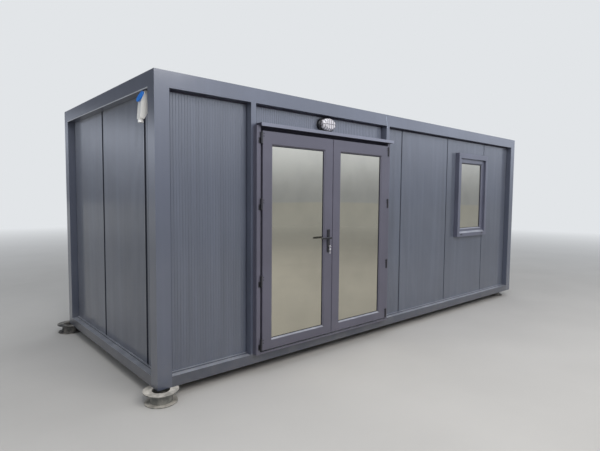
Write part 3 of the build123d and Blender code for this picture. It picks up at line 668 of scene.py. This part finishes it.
class FastenerTree(Nodes):
    """Geometry Nodes tree that sets a screw with its washer on every point of a mesh."""

    WASHER_SIDES = 20
    SEED = 7

    def __init__(self) -> None:
        """Builds the tree with its named inputs."""
        self.tree = bpy.data.node_groups.new("fasteners", "GeometryNodeTree")
        super().__init__(self.tree)
        face = self.tree.interface
        for name, kind in (("Geometry", "Geometry"), ("Facing", "Rotation"), ("Finish", "Material")):
            face.new_socket(name, in_out="INPUT", socket_type=f"NodeSocket{kind}")
        for name, value in {**Fastener().inputs(), "Seed": self.SEED}.items():
            kind = "Int" if isinstance(value, int) else "Float"
            face.new_socket(name, in_out="INPUT", socket_type=f"NodeSocket{kind}").default_value = value
        face.new_socket("Geometry", in_out="OUTPUT", socket_type="NodeSocketGeometry")
        given = self.add("NodeGroupInput", {})
        joined = self.nodes.new("GeometryNodeJoinGeometry")
        for part, sides, foot in (("Washer", self.WASHER_SIDES, 0.0), ("Head", given["Sides"], given["Washer Height"])):
            radius, height = given[f"{part} Radius"], given[f"{part} Height"]
            solid = self.add("GeometryNodeMeshCylinder", {"Vertices": sides, "Radius": radius, "Depth": height})
            middle = self.add("ShaderNodeMath", {0: height, 1: 0.5, 2: foot}, operation="MULTIPLY_ADD")[0]
            up = self.add("ShaderNodeCombineXYZ", {"Z": middle})[0]
            moved = self.add("GeometryNodeTransform", {"Geometry": solid["Mesh"], "Translation": up})[0]
            self.links.new(moved, joined.inputs[0])
        points = self.add("GeometryNodeMeshToPoints", {"Mesh": given["Geometry"]})[0]
        screws = self.add("GeometryNodeInstanceOnPoints",
                          {"Points": points, "Instance": joined.outputs[0], "Rotation": given["Facing"]})[0]
        chance = self.add("FunctionNodeRandomValue", {1: (0.0, 0.0, math.tau), "Seed": given["Seed"]},
                          data_type="FLOAT_VECTOR")[0]
        spun = self.add("GeometryNodeRotateInstances", {"Instances": screws, "Rotation": chance})[0]
        real = self.add("GeometryNodeRealizeInstances", {0: spun})[0]
        painted = self.add("GeometryNodeSetMaterial", {"Geometry": real, "Material": given["Finish"]})[0]
        self.add("NodeGroupOutput", {"Geometry": painted})

    def grow(self, name: str, points: Sequence[Point], facing: Point, fastener: Fastener,
             material: bpy.types.Material) -> bpy.types.Mesh:
        """Sets the fasteners on the points.

        Args:
            name: name of the helper object.
            points: where they stand.
            facing: which way their heads point.
            fastener: their sizes.
            material: their finish.

        Returns:
            Their mesh.
        """
        seat = bpy.data.meshes.new(name)
        seat.from_pydata(points, [], [])
        helper = bpy.data.objects.new(name, seat)
        bpy.context.scene.collection.objects.link(helper)
        modifier = helper.modifiers.new("fasteners", "NODES")
        modifier.node_group = self.tree
        turn = Vector((0, 0, 1)).rotation_difference(Vector(facing)).to_euler()
        values = {**fastener.inputs(), "Finish": material, "Facing": turn}
        for item in self.tree.interface.items_tree:
            if item.in_out == "INPUT" and item.name in values:
                modifier[item.identifier] = values[item.name]
        mesh = bpy.data.meshes.new_from_object(helper.evaluated_get(bpy.context.evaluated_depsgraph_get()))
        helper.modifiers.clear()
        bpy.data.objects.remove(helper)
        return mesh


class Workshop:
    """Makes pieces, gives them their finish, and sets them on their bodies."""

    def __init__(self) -> None:
        """Makes the finishes and the tree of the fasteners."""
        self.palette = Palette()
        self.fasteners = FastenerTree()

    def dress(self) -> int:
        """Gives every node of the frame its finish.

        Returns:
            The number of nodes that were dressed.
        """
        for part in frame["record"]["subparts"]:
            thing = frame["nodes"][part["node"]]
            material = self.palette.of(Slot(part["material_slot"]), part["node"])
            if not thing.material_slots:
                thing.data.materials.append(material)
            for slot in thing.material_slots:
                slot.material = material
        return len(frame["record"]["subparts"])

    def place(self, name: str, mesh: "bmesh.types.BMesh | bpy.types.Mesh", slot: Slot, body: Body = Body.CABIN,
              finish: "bpy.types.Material | None" = None) -> None:
        """Makes a mesh into a finished piece.

        Args:
            name: name of the piece.
            mesh: its shape, in metres and in the frame's axes.
            slot: the record's slot that gives its finish.
            body: the body that it rides on.
            finish: a material of its own, in place of the slot's.
        """
        data = mesh
        if isinstance(mesh, bmesh.types.BMesh):
            bmesh.ops.recalc_face_normals(mesh, faces=mesh.faces)
            data = bpy.data.meshes.new(name)
            mesh.to_mesh(data)
            mesh.free()
        data.name = name
        data.materials.clear()
        data.materials.append(finish or self.palette.of(slot))
        data.polygons.foreach_set("use_smooth", [False] * len(data.polygons))
        piece = bpy.data.objects.new(name, data)
        bpy.context.scene.collection.objects.link(piece)
        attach(piece, body.value)
        LOG.info("piece %s: %d faces on %s", name, len(data.polygons), body.value)

    def fasten(self, name: str, points: Sequence[Point], facing: Point, fastener: Fastener, slot: Slot,
               body: Body = Body.CABIN) -> None:
        """Sets a piece of like screws on a body, with their heads facing one way."""
        self.place(name, self.fasteners.grow(name, points, facing, fastener, self.palette.of(slot)), slot, body)


def add_box(mesh: bmesh.types.BMesh, low: Point, high: Point) -> None:
    """Adds a box to a mesh, between its lowest and its highest corner."""
    middle, size = (Vector(low) + Vector(high)) / 2, Vector(high) - Vector(low)
    bmesh.ops.create_cube(mesh, size=1.0, matrix=Matrix.Translation(middle) @ Matrix.Diagonal((*size, 1.0)))


def boxes(limits: Iterable[tuple[Point, Point]], edge: float) -> bmesh.types.BMesh:
    """Makes a mesh of boxes with eased edges.

    Args:
        limits: lowest and highest corner of each box.
        edge: width of the eased edge.

    Returns:
        The mesh.
    """
    mesh = bmesh.new()
    for low, high in limits:
        add_box(mesh, low, high)
    bmesh.ops.bevel(mesh, geom=mesh.edges[:], offset=edge, segments=2, profile=0.7, affect="EDGES")
    return mesh


def slab(along: int, span: Span, layer: Span, levels: Span) -> tuple[Point, Point]:
    """Returns the corners of an upright slab that spans along x (0) or y (1), from its limits on three axes."""
    low, high = zip(span, layer, levels) if along == 0 else zip(layer, span, levels)
    return low, high


def skin(box: Box, axis: int, outwards: int, start: float, end: float) -> Span:
    """Returns the limits of a layer on one face of a box.

    Args:
        box: lowest and highest corner of the box.
        axis: the axis across the face.
        outwards: -1 for the face on the low side, 1 for the one on the high side.
        start: how far out of the face the layer starts.
        end: how far out of it the layer ends.

    Returns:
        The lower and the higher limit.
    """
    face = box[outwards > 0][axis]
    near, far = sorted((face + outwards * start, face + outwards * end))
    return near, far


def tube(mesh: bmesh.types.BMesh, rows: Iterable[Iterable[Point]], closed: bool = True) -> None:
    """Adds a tube to a mesh.

    Args:
        mesh: the mesh.
        rows: points round the tube, in like order in every row.
        closed: whether the last row joins the first. If not, both ends get a face.
    """
    loops = [[mesh.verts.new(point) for point in row] for row in rows]
    for here, there in zip(loops, loops[1:] + (loops[:1] if closed else [])):
        for i in range(len(here)):
            mesh.faces.new((here[i - 1], here[i], there[i], there[i - 1]))
    if not closed:
        mesh.faces.new(loops[0])
        mesh.faces.new(loops[-1][::-1])


def mitred_ring(low: Vector, high: Vector, inset: float, y: float, facing: int,
                profile: Sequence[Span]) -> bmesh.types.BMesh:
    """Sweeps a profile round an upright rectangle, with mitred corners.

    Args:
        low: lowest corner of the rectangle.
        high: highest corner of the rectangle.
        inset: how far inside the rectangle the ring starts.
        y: where the profile's zero depth lies.
        facing: -1 where the profile stands out towards -Y, 1 towards +Y.
        profile: points as (way in from the start of the ring, way out from y).

    Returns:
        The closed ring.
    """
    mesh = bmesh.new()
    corners = ((low.x, low.z, 1, 1), (high.x, low.z, -1, 1), (high.x, high.z, -1, -1), (low.x, high.z, 1, -1))
    tube(mesh, [[(x + sx * (inset + u), y + facing * v, z + sz * (inset + u)) for u, v in profile]
                for x, z, sx, sz in corners])
    return mesh


@dataclass
class Trim:
    """Small pieces on one part of the cabin, made in the workshop."""

    shop: Workshop


@dataclass
class Glazing(Trim):
    """Rubber gaskets round a glass unit, on both faces."""

    node: str
    body: Body
    embed: float = 0.010
    width: float = 0.005
    height: float = 0.005
    lip: float = 0.0015

    def build(self) -> None:
        """Makes both gaskets."""
        low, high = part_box(self.node)
        profile = ((0.0, 0.0), (self.width, 0.0), (self.width, self.lip), (self.lip, self.height), (0.0, self.height))
        for side, y, facing in (("outer", low.y, -1), ("inner", high.y, 1)):
            ring = mitred_ring(low, high, self.embed, y, facing, profile)
            self.shop.place(f"{self.node}_gasket_{side}", ring, Slot.BLACK, self.body, self.shop.palette.rubber)


@dataclass
class DoorTrim(Trim):
    """Meeting strips, seals, dark strips that paint the shadow under the drip rail, and hinge screws of the double
    door.
    """

    strip: float = 0.005
    strip_layer: Span = (0.004, 0.016)
    strip_edge: float = 0.0012
    seal_inset: float = 0.003
    seal_width: float = 0.008
    seal_nose: Span = (0.0024, 0.0056)
    stop_depth: float = 0.022
    # sizes of the dark strips that paint the shadow under the drip rail
    brush_foot: float = 0.0065
    brush: float = 0.0035
    brush_edge: float = 0.0008
    drip_sheet: float = 0.003
    hinge_levels: tuple[float, ...] = (0.273, 0.843, 1.528, 2.108)
    hinge_radius: float = 0.010
    hinge_plate: float = 0.003
    screw: Fastener = Fastener(0.0038, 0.0012, 0.0046, 0.0006, 16)
    screw_in: float = 0.0215
    screw_rows: Span = (0.013, 0.037)

    def build(self) -> None:
        """Makes the trim of both leaves and of their frame."""
        leaves = {body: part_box(body.value) for body in (Body.LEFT_LEAF, Body.RIGHT_LEAF)}
        for body, (low, high) in leaves.items():
            start = high.x if body is Body.LEFT_LEAF else low.x - self.strip
            layer = (low.y + self.strip_layer[0], low.y + self.strip_layer[1])
            strip = slab(0, (start, start + self.strip), layer, (low.z, high.z))
            self.shop.place(f"{body.value}_meeting_strip", boxes([strip], self.strip_edge), Slot.DOOR, body)
        back = leaves[Body.LEFT_LEAF][1]
        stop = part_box("door_head")[1].y - self.stop_depth
        depth = stop - back.y - HAIR
        profile = ((0, 0), (self.seal_width, 0), (self.seal_nose[1], depth), (self.seal_nose[0], depth))
        ring = mitred_ring(leaves[Body.LEFT_LEAF][0], leaves[Body.RIGHT_LEAF][1], self.seal_inset, stop, -1, profile)
        self.shop.place("door_stop_seal", ring, Slot.BLACK, finish=self.shop.palette.rubber)
        self.head_seal(back.z)
        self.hinge_screws()

    def head_seal(self, leaf_top: float) -> None:
        """Makes the dark brush on the head and the dark foam under the drip rail, which paint the shadow under the
        rail.

        Args:
            leaf_top: level of the leaves' tops.
        """
        low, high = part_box("drip_rail")
        head_low, head_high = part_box("door_head")
        span = (low.x + MARGIN, high.x - MARGIN)
        # both pieces paint the shadow under the drip rail
        brush = slab(0, span, (head_low.y - self.brush, head_low.y), (leaf_top + self.brush_foot, head_high.z - HAIR))
        foam = slab(0, span, (low.y + self.drip_sheet + HAIR, head_low.y - self.drip_sheet - HAIR),
                    (low.z + MARGIN, high.z - self.drip_sheet))
        self.shop.place("door_head_seal", boxes([brush, foam], self.brush_edge), Slot.BLACK,
                        finish=self.shop.palette.brush)

    def hinge_screws(self) -> None:
        """Sets the screws in the wings of the hinges."""
        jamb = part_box("door_jamb_left")[0].y - self.hinge_plate
        rows = [(level, row) for level in self.hinge_levels for row in self.screw_rows]
        frame_points: list[Point] = []
        for body, node, sign in ((Body.LEFT_LEAF, "leaf_hinges_left", -1), (Body.RIGHT_LEAF, "leaf_hinges_right", 1)):
            low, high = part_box(node)
            axis = low.x + self.hinge_radius if sign < 0 else high.x - self.hinge_radius
            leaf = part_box(body.value)[0].y - self.hinge_plate
            points = [(axis - sign * self.screw_in, leaf, level + row) for level, row in rows]
            self.shop.fasten(f"{node}_screws", points, (0, -1, 0), self.screw, Slot.BLACK, body)
            frame_points += [(axis + sign * self.screw_in, jamb, level - row) for level, row in rows]
        self.shop.fasten("frame_hinge_screws", frame_points, (0, -1, 0), self.screw, Slot.BLACK)


@dataclass
class KeySet(Trim):
    """Key in the lock, with a second key hanging from its ring."""

    along: float = -1.265
    level: float = 1.106
    stem: float = 0.003
    bow: float = 0.0125
    bow_thick: float = 0.0036
    hole: float = 0.55
    ring: float = 0.009
    wire: float = 0.0008
    blade_half: float = 0.004
    blade_length: float = 0.030
    blade_thick: float = 0.00288
    into_lock: float = 0.002
    facets: int = 20
    wire_facets: int = 6

    def build(self) -> None:
        """Makes the keys and their ring."""
        face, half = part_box("handle_plates")[0].y, self.blade_half
        y = face - self.stem - self.bow
        ring = self.level - self.hole * self.bow - self.ring
        hung = ring - self.ring - (1 - self.hole) * self.bow
        mesh = bmesh.new()
        self.key(mesh, y, self.level, (y, face + self.into_lock), (self.level - half, self.level + half))
        self.key(mesh, y, hung, (y - half, y + half), (hung - self.bow - self.blade_length, hung))
        tube(mesh, [self.wire_row(Vector((self.along, y, ring)), math.tau * i / self.facets)
                    for i in range(self.facets)])
        self.shop.place("door_keys", mesh, Slot.SPOOL, Body.LEFT_LEAF, self.shop.palette.nickel)

    def key(self, mesh: bmesh.types.BMesh, y: float, z: float, reach: Span, levels: Span) -> None:
        """Adds a flat key to a mesh.

        Args:
            mesh: the mesh to add to.
            y: where the middle of the bow lies.
            z: its level.
            reach: lowest and highest y of the blade.
            levels: lowest and highest z of the blade.
        """
        turn = Matrix.Translation((self.along, y, z)) @ Matrix.Rotation(math.pi / 2, 4, "Y")
        bmesh.ops.create_cone(mesh, cap_ends=True, segments=self.facets, radius1=self.bow, radius2=self.bow,
                              depth=self.bow_thick, matrix=turn)
        across = (self.along - self.blade_thick / 2, self.along + self.blade_thick / 2)
        add_box(mesh, *slab(1, reach, across, levels))

    def wire_row(self, centre: Vector, turn: float) -> list[Vector]:
        """Returns the points round the wire of the ring.

        Args:
            centre: middle of the ring.
            turn: how far round the ring the points lie, in radians.

        Returns:
            The points.
        """
        out, side = Vector((math.sin(turn), 0.0, math.cos(turn))), Vector((0.0, 1.0, 0.0))
        angles = [math.tau * j / self.wire_facets for j in range(self.wire_facets)]
        return [centre + out * (self.ring + self.wire * math.cos(a)) + side * self.wire * math.sin(a) for a in angles]


@dataclass
class PanelSeals(Trim):
    """Black sealant in the joints between wall panels, and dark foam over the long walls that paints the shadow under
    the top rails.
    """

    depth: float = 0.010
    width: float = 0.0136
    thick: float = 0.0024
    tongue: float = 0.015
    smear: Span = (-0.024, 0.008)
    smear_proud: float = 0.0012
    edge: float = 0.0005
    # the foam is a dark strip that paints the shadow under the top rails
    foam_tall: float = 0.013
    foam_proud: float = 0.005
    foam_edge: float = 0.001

    def build(self) -> None:
        """Makes the seals of every wall, where a panel's tongue sits in the next panel."""
        for wall in Wall:
            along = wall.value[0]
            panels = [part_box(name) for name in sorted(frame["nodes"]) if name.startswith(f"wall_{wall.label}_")]
            limits = []
            for (low, high), (next_low, next_high) in zip(panels, panels[1:]):
                rising = low[along] < next_low[along]
                seam, end = (next_low[along], high[along]) if rising else (next_high[along], low[along])
                if abs(end - seam) <= self.tongue:
                    limits += self.joint(wall, panels[0], seam, (low.z, high.z))
            self.shop.place(f"wall_{wall.label}_seals", boxes(limits, self.edge), Slot.BLACK,
                            finish=self.shop.palette.rubber)
        self.rail_foam()

    def joint(self, wall: Wall, panel: Box, seam: float, levels: Span) -> list[tuple[Point, Point]]:
        """Works out the strips in a joint, clear of the window, and a wide dark strip over it on an end wall.

        Args:
            wall: the wall.
            panel: limits of one of its panels.
            seam: where the joint lies along the wall.
            levels: lower and upper end of the joint.

        Returns:
            The lowest and highest corner of each.
        """
        along, outwards = wall.value
        span = (seam - self.width / 2, seam + self.width / 2)
        layer = skin(panel, 1 - along, outwards, -self.depth, self.thick - self.depth)
        near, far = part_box("window_frame")
        parts = [levels]
        if wall is Wall.FRONT and near.x - self.width < seam < far.x + self.width:
            parts = [(levels[0], near.z - MARGIN), (far.z + MARGIN, levels[1])]
        limits = [slab(along, span, layer, part) for part in parts]
        if along == 1:
            rails = (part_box("bottom_rail_left")[1].z + MARGIN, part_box("top_rail_left")[0].z - MARGIN)
            # a wide dark strip over the joint, on the face of an end wall
            limits.append(slab(along, (seam + self.smear[0], seam + self.smear[1]),
                               skin(panel, 0, outwards, 0.0, self.smear_proud), rails))
        return limits

    def rail_foam(self) -> None:
        """Makes the dark foam between the long walls and the top rails, which paints the shadow under the rails."""
        limits = []
        for wall in (Wall.FRONT, Wall.BACK):
            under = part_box(f"top_rail_{wall.label}")[0].z - HAIR
            posts = [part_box(f"corner_post_{wall.label}_{end}") for end in ("left", "right")]
            stops = [posts[0][1].x, posts[1][0].x]
            if wall is Wall.FRONT:
                stops += [corner.x for node in ("door_post_left", "door_post_right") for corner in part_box(node)]
            stops.sort()
            layer = skin(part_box(f"wall_{wall.label}_a"), 1, wall.value[1], 0.0, self.foam_proud)
            limits += [slab(0, (start + MARGIN, end - MARGIN), layer, (under - self.foam_tall, under))
                       for start, end in zip(stops[::2], stops[1::2])]
        self.shop.place("rail_foam", boxes(limits, self.foam_edge), Slot.BLACK, finish=self.shop.palette.brush)


@dataclass
class RailWeld(Trim):
    """Painted-over weld on the face of the front top rail, above the right door post."""

    head: Span = (-0.300, 2.512)
    foot: Span = (-0.270, 2.386)
    width: float = 0.013
    proud: float = 0.0012
    sway: float = 0.0015
    swell: float = 0.15
    lumps: float = 0.3
    waves: tuple[float, float, float] = (17.0, 41.0, 53.0)
    steps: int = 24

    def build(self) -> None:
        """Makes the bead."""
        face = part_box("top_rail_front")[0].y
        foot = face + HAIR
        rows = []
        for i in range(self.steps + 1):
            share = i / self.steps
            bend, swell, lump = (math.sin(wave * share) for wave in self.waves)
            x = self.head[0] + (self.foot[0] - self.head[0]) * share + self.sway * bend
            z = self.head[1] + (self.foot[1] - self.head[1]) * share
            half = self.width / 2 * (1 + self.swell * swell)
            top = face - self.proud * (1 + self.lumps * lump)
            rows.append([(x - half, foot, z), (x - half / 2, top, z), (x + half / 2, top, z), (x + half, foot, z)])
        mesh = bmesh.new()
        tube(mesh, rows, closed=False)
        self.shop.place("rail_weld", mesh, Slot.FRAME, finish=self.shop.palette.worn)


@dataclass
class RailLip(Trim):
    """Folded lip along the lower edge of an end's top rail, finished bright to paint the highlight along that edge."""

    tall: float = 0.009
    proud: float = 0.002
    edge: float = 0.0007

    def build(self) -> None:
        """Makes the lips of both ends."""
        limits = []
        for wall in (Wall.LEFT, Wall.RIGHT):
            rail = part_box(f"top_rail_{wall.label}")
            front, back = (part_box(f"corner_post_{end}_{wall.label}") for end in ("front", "back"))
            limits.append(slab(1, (front[1].y, back[0].y), skin(rail, 0, wall.value[1], 0.0, self.proud),
                               (rail[0].z + HAIR, rail[0].z + self.tall)))
        # the bright finish paints the highlight along the lip
        self.shop.place("end_rail_lips", boxes(limits, self.edge), Slot.FRAME, finish=self.shop.palette.bare)


@dataclass
class WindowTrim(Trim):
    """Caps over the weep holes in the foot of the window's surround."""

    along: Span = (1.458, 2.045)
    level: float = 1.082
    size: Span = (0.044, 0.015)
    proud: float = 0.0035
    edge: float = 0.0016

    def build(self) -> None:
        """Makes the caps."""
        layer = skin(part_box("window_frame"), 1, -1, 0.0, self.proud)
        wide, tall = self.size[0] / 2, self.size[1] / 2
        limits = [slab(0, (x - wide, x + wide), layer, (self.level - tall, self.level + tall)) for x in self.along]
        self.shop.place("window_weep_caps", boxes(limits, self.edge), Slot.BLACK)


@dataclass
class RoofTrim(Trim):
    """Sheet screws with sealing washers along the ribs of the roof."""

    pitch: float = 0.2
    rows: tuple[float, ...] = (-1.05, -0.35, 0.35, 1.05)
    screw: Fastener = Fastener(0.0046, 0.0045, 0.0085, 0.0022)

    def build(self) -> None:
        """Sets the screws on the rib tops."""
        low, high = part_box("roof_sheet")
        count = int((high.x - low.x) // self.pitch)
        start = low.x + (high.x - low.x - count * self.pitch) / 2
        points = [(start + (i + 0.5) * self.pitch, y, high.z) for i in range(count) for y in self.rows]
        self.shop.fasten("roof_screws", points, (0, 0, 1), self.screw, Slot.ROOF)


@dataclass(frozen=True)
class SoftBox:
    """Rectangular lamp with its place, its target, its size in metres, its power in watts and its tint."""

    name: str
    place: Point
    target: Point
    size: Span
    power: float
    tint: Point

    def hang(self) -> None:
        """Adds the lamp to the scene."""
        data = bpy.data.lights.new(self.name, "AREA")
        data.shape = "RECTANGLE"
        data.size, data.size_y = self.size
        data.energy, data.color = self.power, self.tint
        lamp = bpy.data.objects.new(self.name, data)
        lamp.location = self.place
        lamp.rotation_euler = (Vector(self.target) - Vector(self.place)).to_track_quat("-Z", "Y").to_euler()
        bpy.context.scene.collection.objects.link(lamp)


@dataclass
class Studio:
    """Plain floor, soft light and the camera of the photograph.

    Reflections see a sky that brightens upwards over mirrored_rise, and grows dim behind the cabin and, by
    mirrored_end_share, towards the far end of its left side.
    """

    reach: float = 90.0
    fade: Span = (5.5, 20.0)
    floor_shade: Shade = Shade(184, 181, 177)
    floor_tones: Span = (0.985, 1.015)
    floor_clouds: Pattern = Pattern(0.8, 6.0, 0.35, 0.65)
    floor_roughness: float = 0.85
    back_shade: Shade = Shade(226, 229, 232)
    sky: Point = (0.88, 0.94, 1.0)
    sky_strength: float = 0.42
    mirrored_shade: Shade = Shade(214, 221, 236)
    mirrored_low: float = 0.6
    mirrored_high: float = 1.9
    mirrored_rise: Span = (-0.01, 0.16)
    mirrored_front: Span = (-0.3, 0.3)
    mirrored_back: float = 0.08
    mirrored_fall: Span = (0.11, 0.19)
    mirrored_end: Span = (0.93, 0.968)
    mirrored_end_share: float = 0.45
    lamps: tuple[SoftBox, ...] = (
        SoftBox("key_box", (-2.2, -8.5, 7.2), (-1.4, -1.0, 1.0), (9.0, 5.0), 700.0, (1.0, 0.985, 0.97)),
        SoftBox("top_box", (0.0, 0.0, 8.5), (0.0, 0.0, 0.0), (10.0, 7.0), 360.0, (0.93, 0.96, 1.0)),
        SoftBox("end_box", (-9.0, 2.5, 4.5), (-2.0, 0.0, 1.0), (5.0, 4.0), 30.0, (0.9, 0.95, 1.0)))
    sensor: float = 36.0
    focal: float = 27.049
    eye: Point = (-4.4434, -4.4683, 1.5991)
    yaw: float = 41.323
    pitch: float = -3.685
    roll: float = 0.489

    def build(self) -> None:
        """Makes the floor, the light and the camera."""
        self.floor()
        self.world()
        for lamp in self.lamps:
            lamp.hang()
        self.camera()
        bpy.context.scene.view_settings.view_transform = "Standard"

    def floor(self) -> None:
        """Makes a pale floor that fades into the background."""
        tree = Tree("studio_floor")
        colour = tree.mix(tree.cloud(self.floor_clouds), *(self.floor_shade.scaled(tone) for tone in self.floor_tones))
        tree.set(Base_Color=colour, Roughness=self.floor_roughness)
        away = tree.add("ShaderNodeVectorMath", {0: tree.place}, operation="LENGTH")["Value"]
        seen = tree.add("ShaderNodeLightPath", {})["Is Camera Ray"]
        strength = tree.spread(seen, 0.0, 1.0, self.mirrored_low, 1.0)
        glow = tree.add("ShaderNodeEmission", {"Color": self.back_shade, "Strength": strength})[0]
        surface = tree.blend(tree.spread(away, *self.fade), tree.shader.outputs[0], glow)
        tree.feed(tree.nodes["Material Output"], {"Surface": surface})
        ends = (-self.reach, self.reach)
        data = bpy.data.meshes.new("studio_floor")
        data.from_pydata([(x, y, 0.0) for y in ends for x in ends], [], [(0, 1, 3, 2)])
        data.materials.append(tree.material)
        floor = bpy.data.objects.new("studio_floor", data)
        bpy.context.scene.collection.objects.link(floor)

    def world(self) -> None:
        """Makes an even sky for light, and a pale background for the camera and for reflections."""
        world = bpy.data.worlds.new("studio_sky")
        bpy.context.scene.world = world
        world.use_nodes = True
        tree = Nodes(world.node_tree)
        _, y, z = tree.add("ShaderNodeSeparateXYZ", {0: tree.add("ShaderNodeTexCoord", {})["Generated"]})
        front = tree.spread(y, *self.mirrored_front, 1.0, self.mirrored_back, kind="SMOOTHSTEP")
        above = tree.spread(z, *self.mirrored_fall, 1.0, 0.0, kind="SMOOTHSTEP")
        end = tree.spread(y, *self.mirrored_end, 1.0, self.mirrored_end_share, kind="SMOOTHSTEP")
        rise = tree.spread(z, *self.mirrored_rise, self.mirrored_low, self.mirrored_high, kind="SMOOTHSTEP")
        mirrored = tree.times(rise, tree.times(tree.math("MAXIMUM", front, above), end))
        path = tree.add("ShaderNodeLightPath", {})
        reflected = tree.math("MAXIMUM", path["Is Glossy Ray"], path["Is Transmission Ray"])
        light = tree.nodes["Background"]
        tree.feed(light, {"Color": (*self.sky, 1.0), "Strength": self.sky_strength})
        shown = light.outputs[0]
        for share, shade, strength in ((reflected, self.mirrored_shade, mirrored),
                                       (path["Is Camera Ray"], self.back_shade, 1.0)):
            background = tree.add("ShaderNodeBackground", {"Color": shade, "Strength": strength})[0]
            shown = tree.blend(share, shown, background)
        tree.feed(tree.nodes["World Output"], {"Surface": shown})

    def camera(self) -> None:
        """Sets the camera where the photograph was taken."""
        data = bpy.data.cameras.new("photo_camera")
        data.lens, data.sensor_width, data.sensor_fit = self.focal, self.sensor, "HORIZONTAL"
        camera = bpy.data.objects.new("photo_camera", data)
        turn = (Matrix.Rotation(-math.radians(self.yaw), 4, "Z")
                @ Matrix.Rotation(math.radians(90 + self.pitch), 4, "X")
                @ Matrix.Rotation(math.radians(self.roll), 4, "Z"))
        camera.matrix_world = Matrix.Translation(self.eye) @ turn
        bpy.context.scene.collection.objects.link(camera)
        bpy.context.scene.camera = camera


def main() -> None:
    """Dresses the cabin, builds its trim, and sets up the studio."""
    logging.basicConfig(level=logging.INFO, format="%(name)s: %(message)s")
    shop = Workshop()
    LOG.info("dressed %d nodes", shop.dress())
    for node, body in (("door_glass_left", Body.LEFT_LEAF), ("door_glass_right", Body.RIGHT_LEAF),
                       ("window_glass", Body.CABIN)):
        Glazing(shop, node, body).build()
    for trim in (DoorTrim, KeySet, PanelSeals, RailWeld, RailLip, WindowTrim, RoofTrim):
        trim(shop).build()
    Studio().build()


if __name__ == "__main__":
    main()
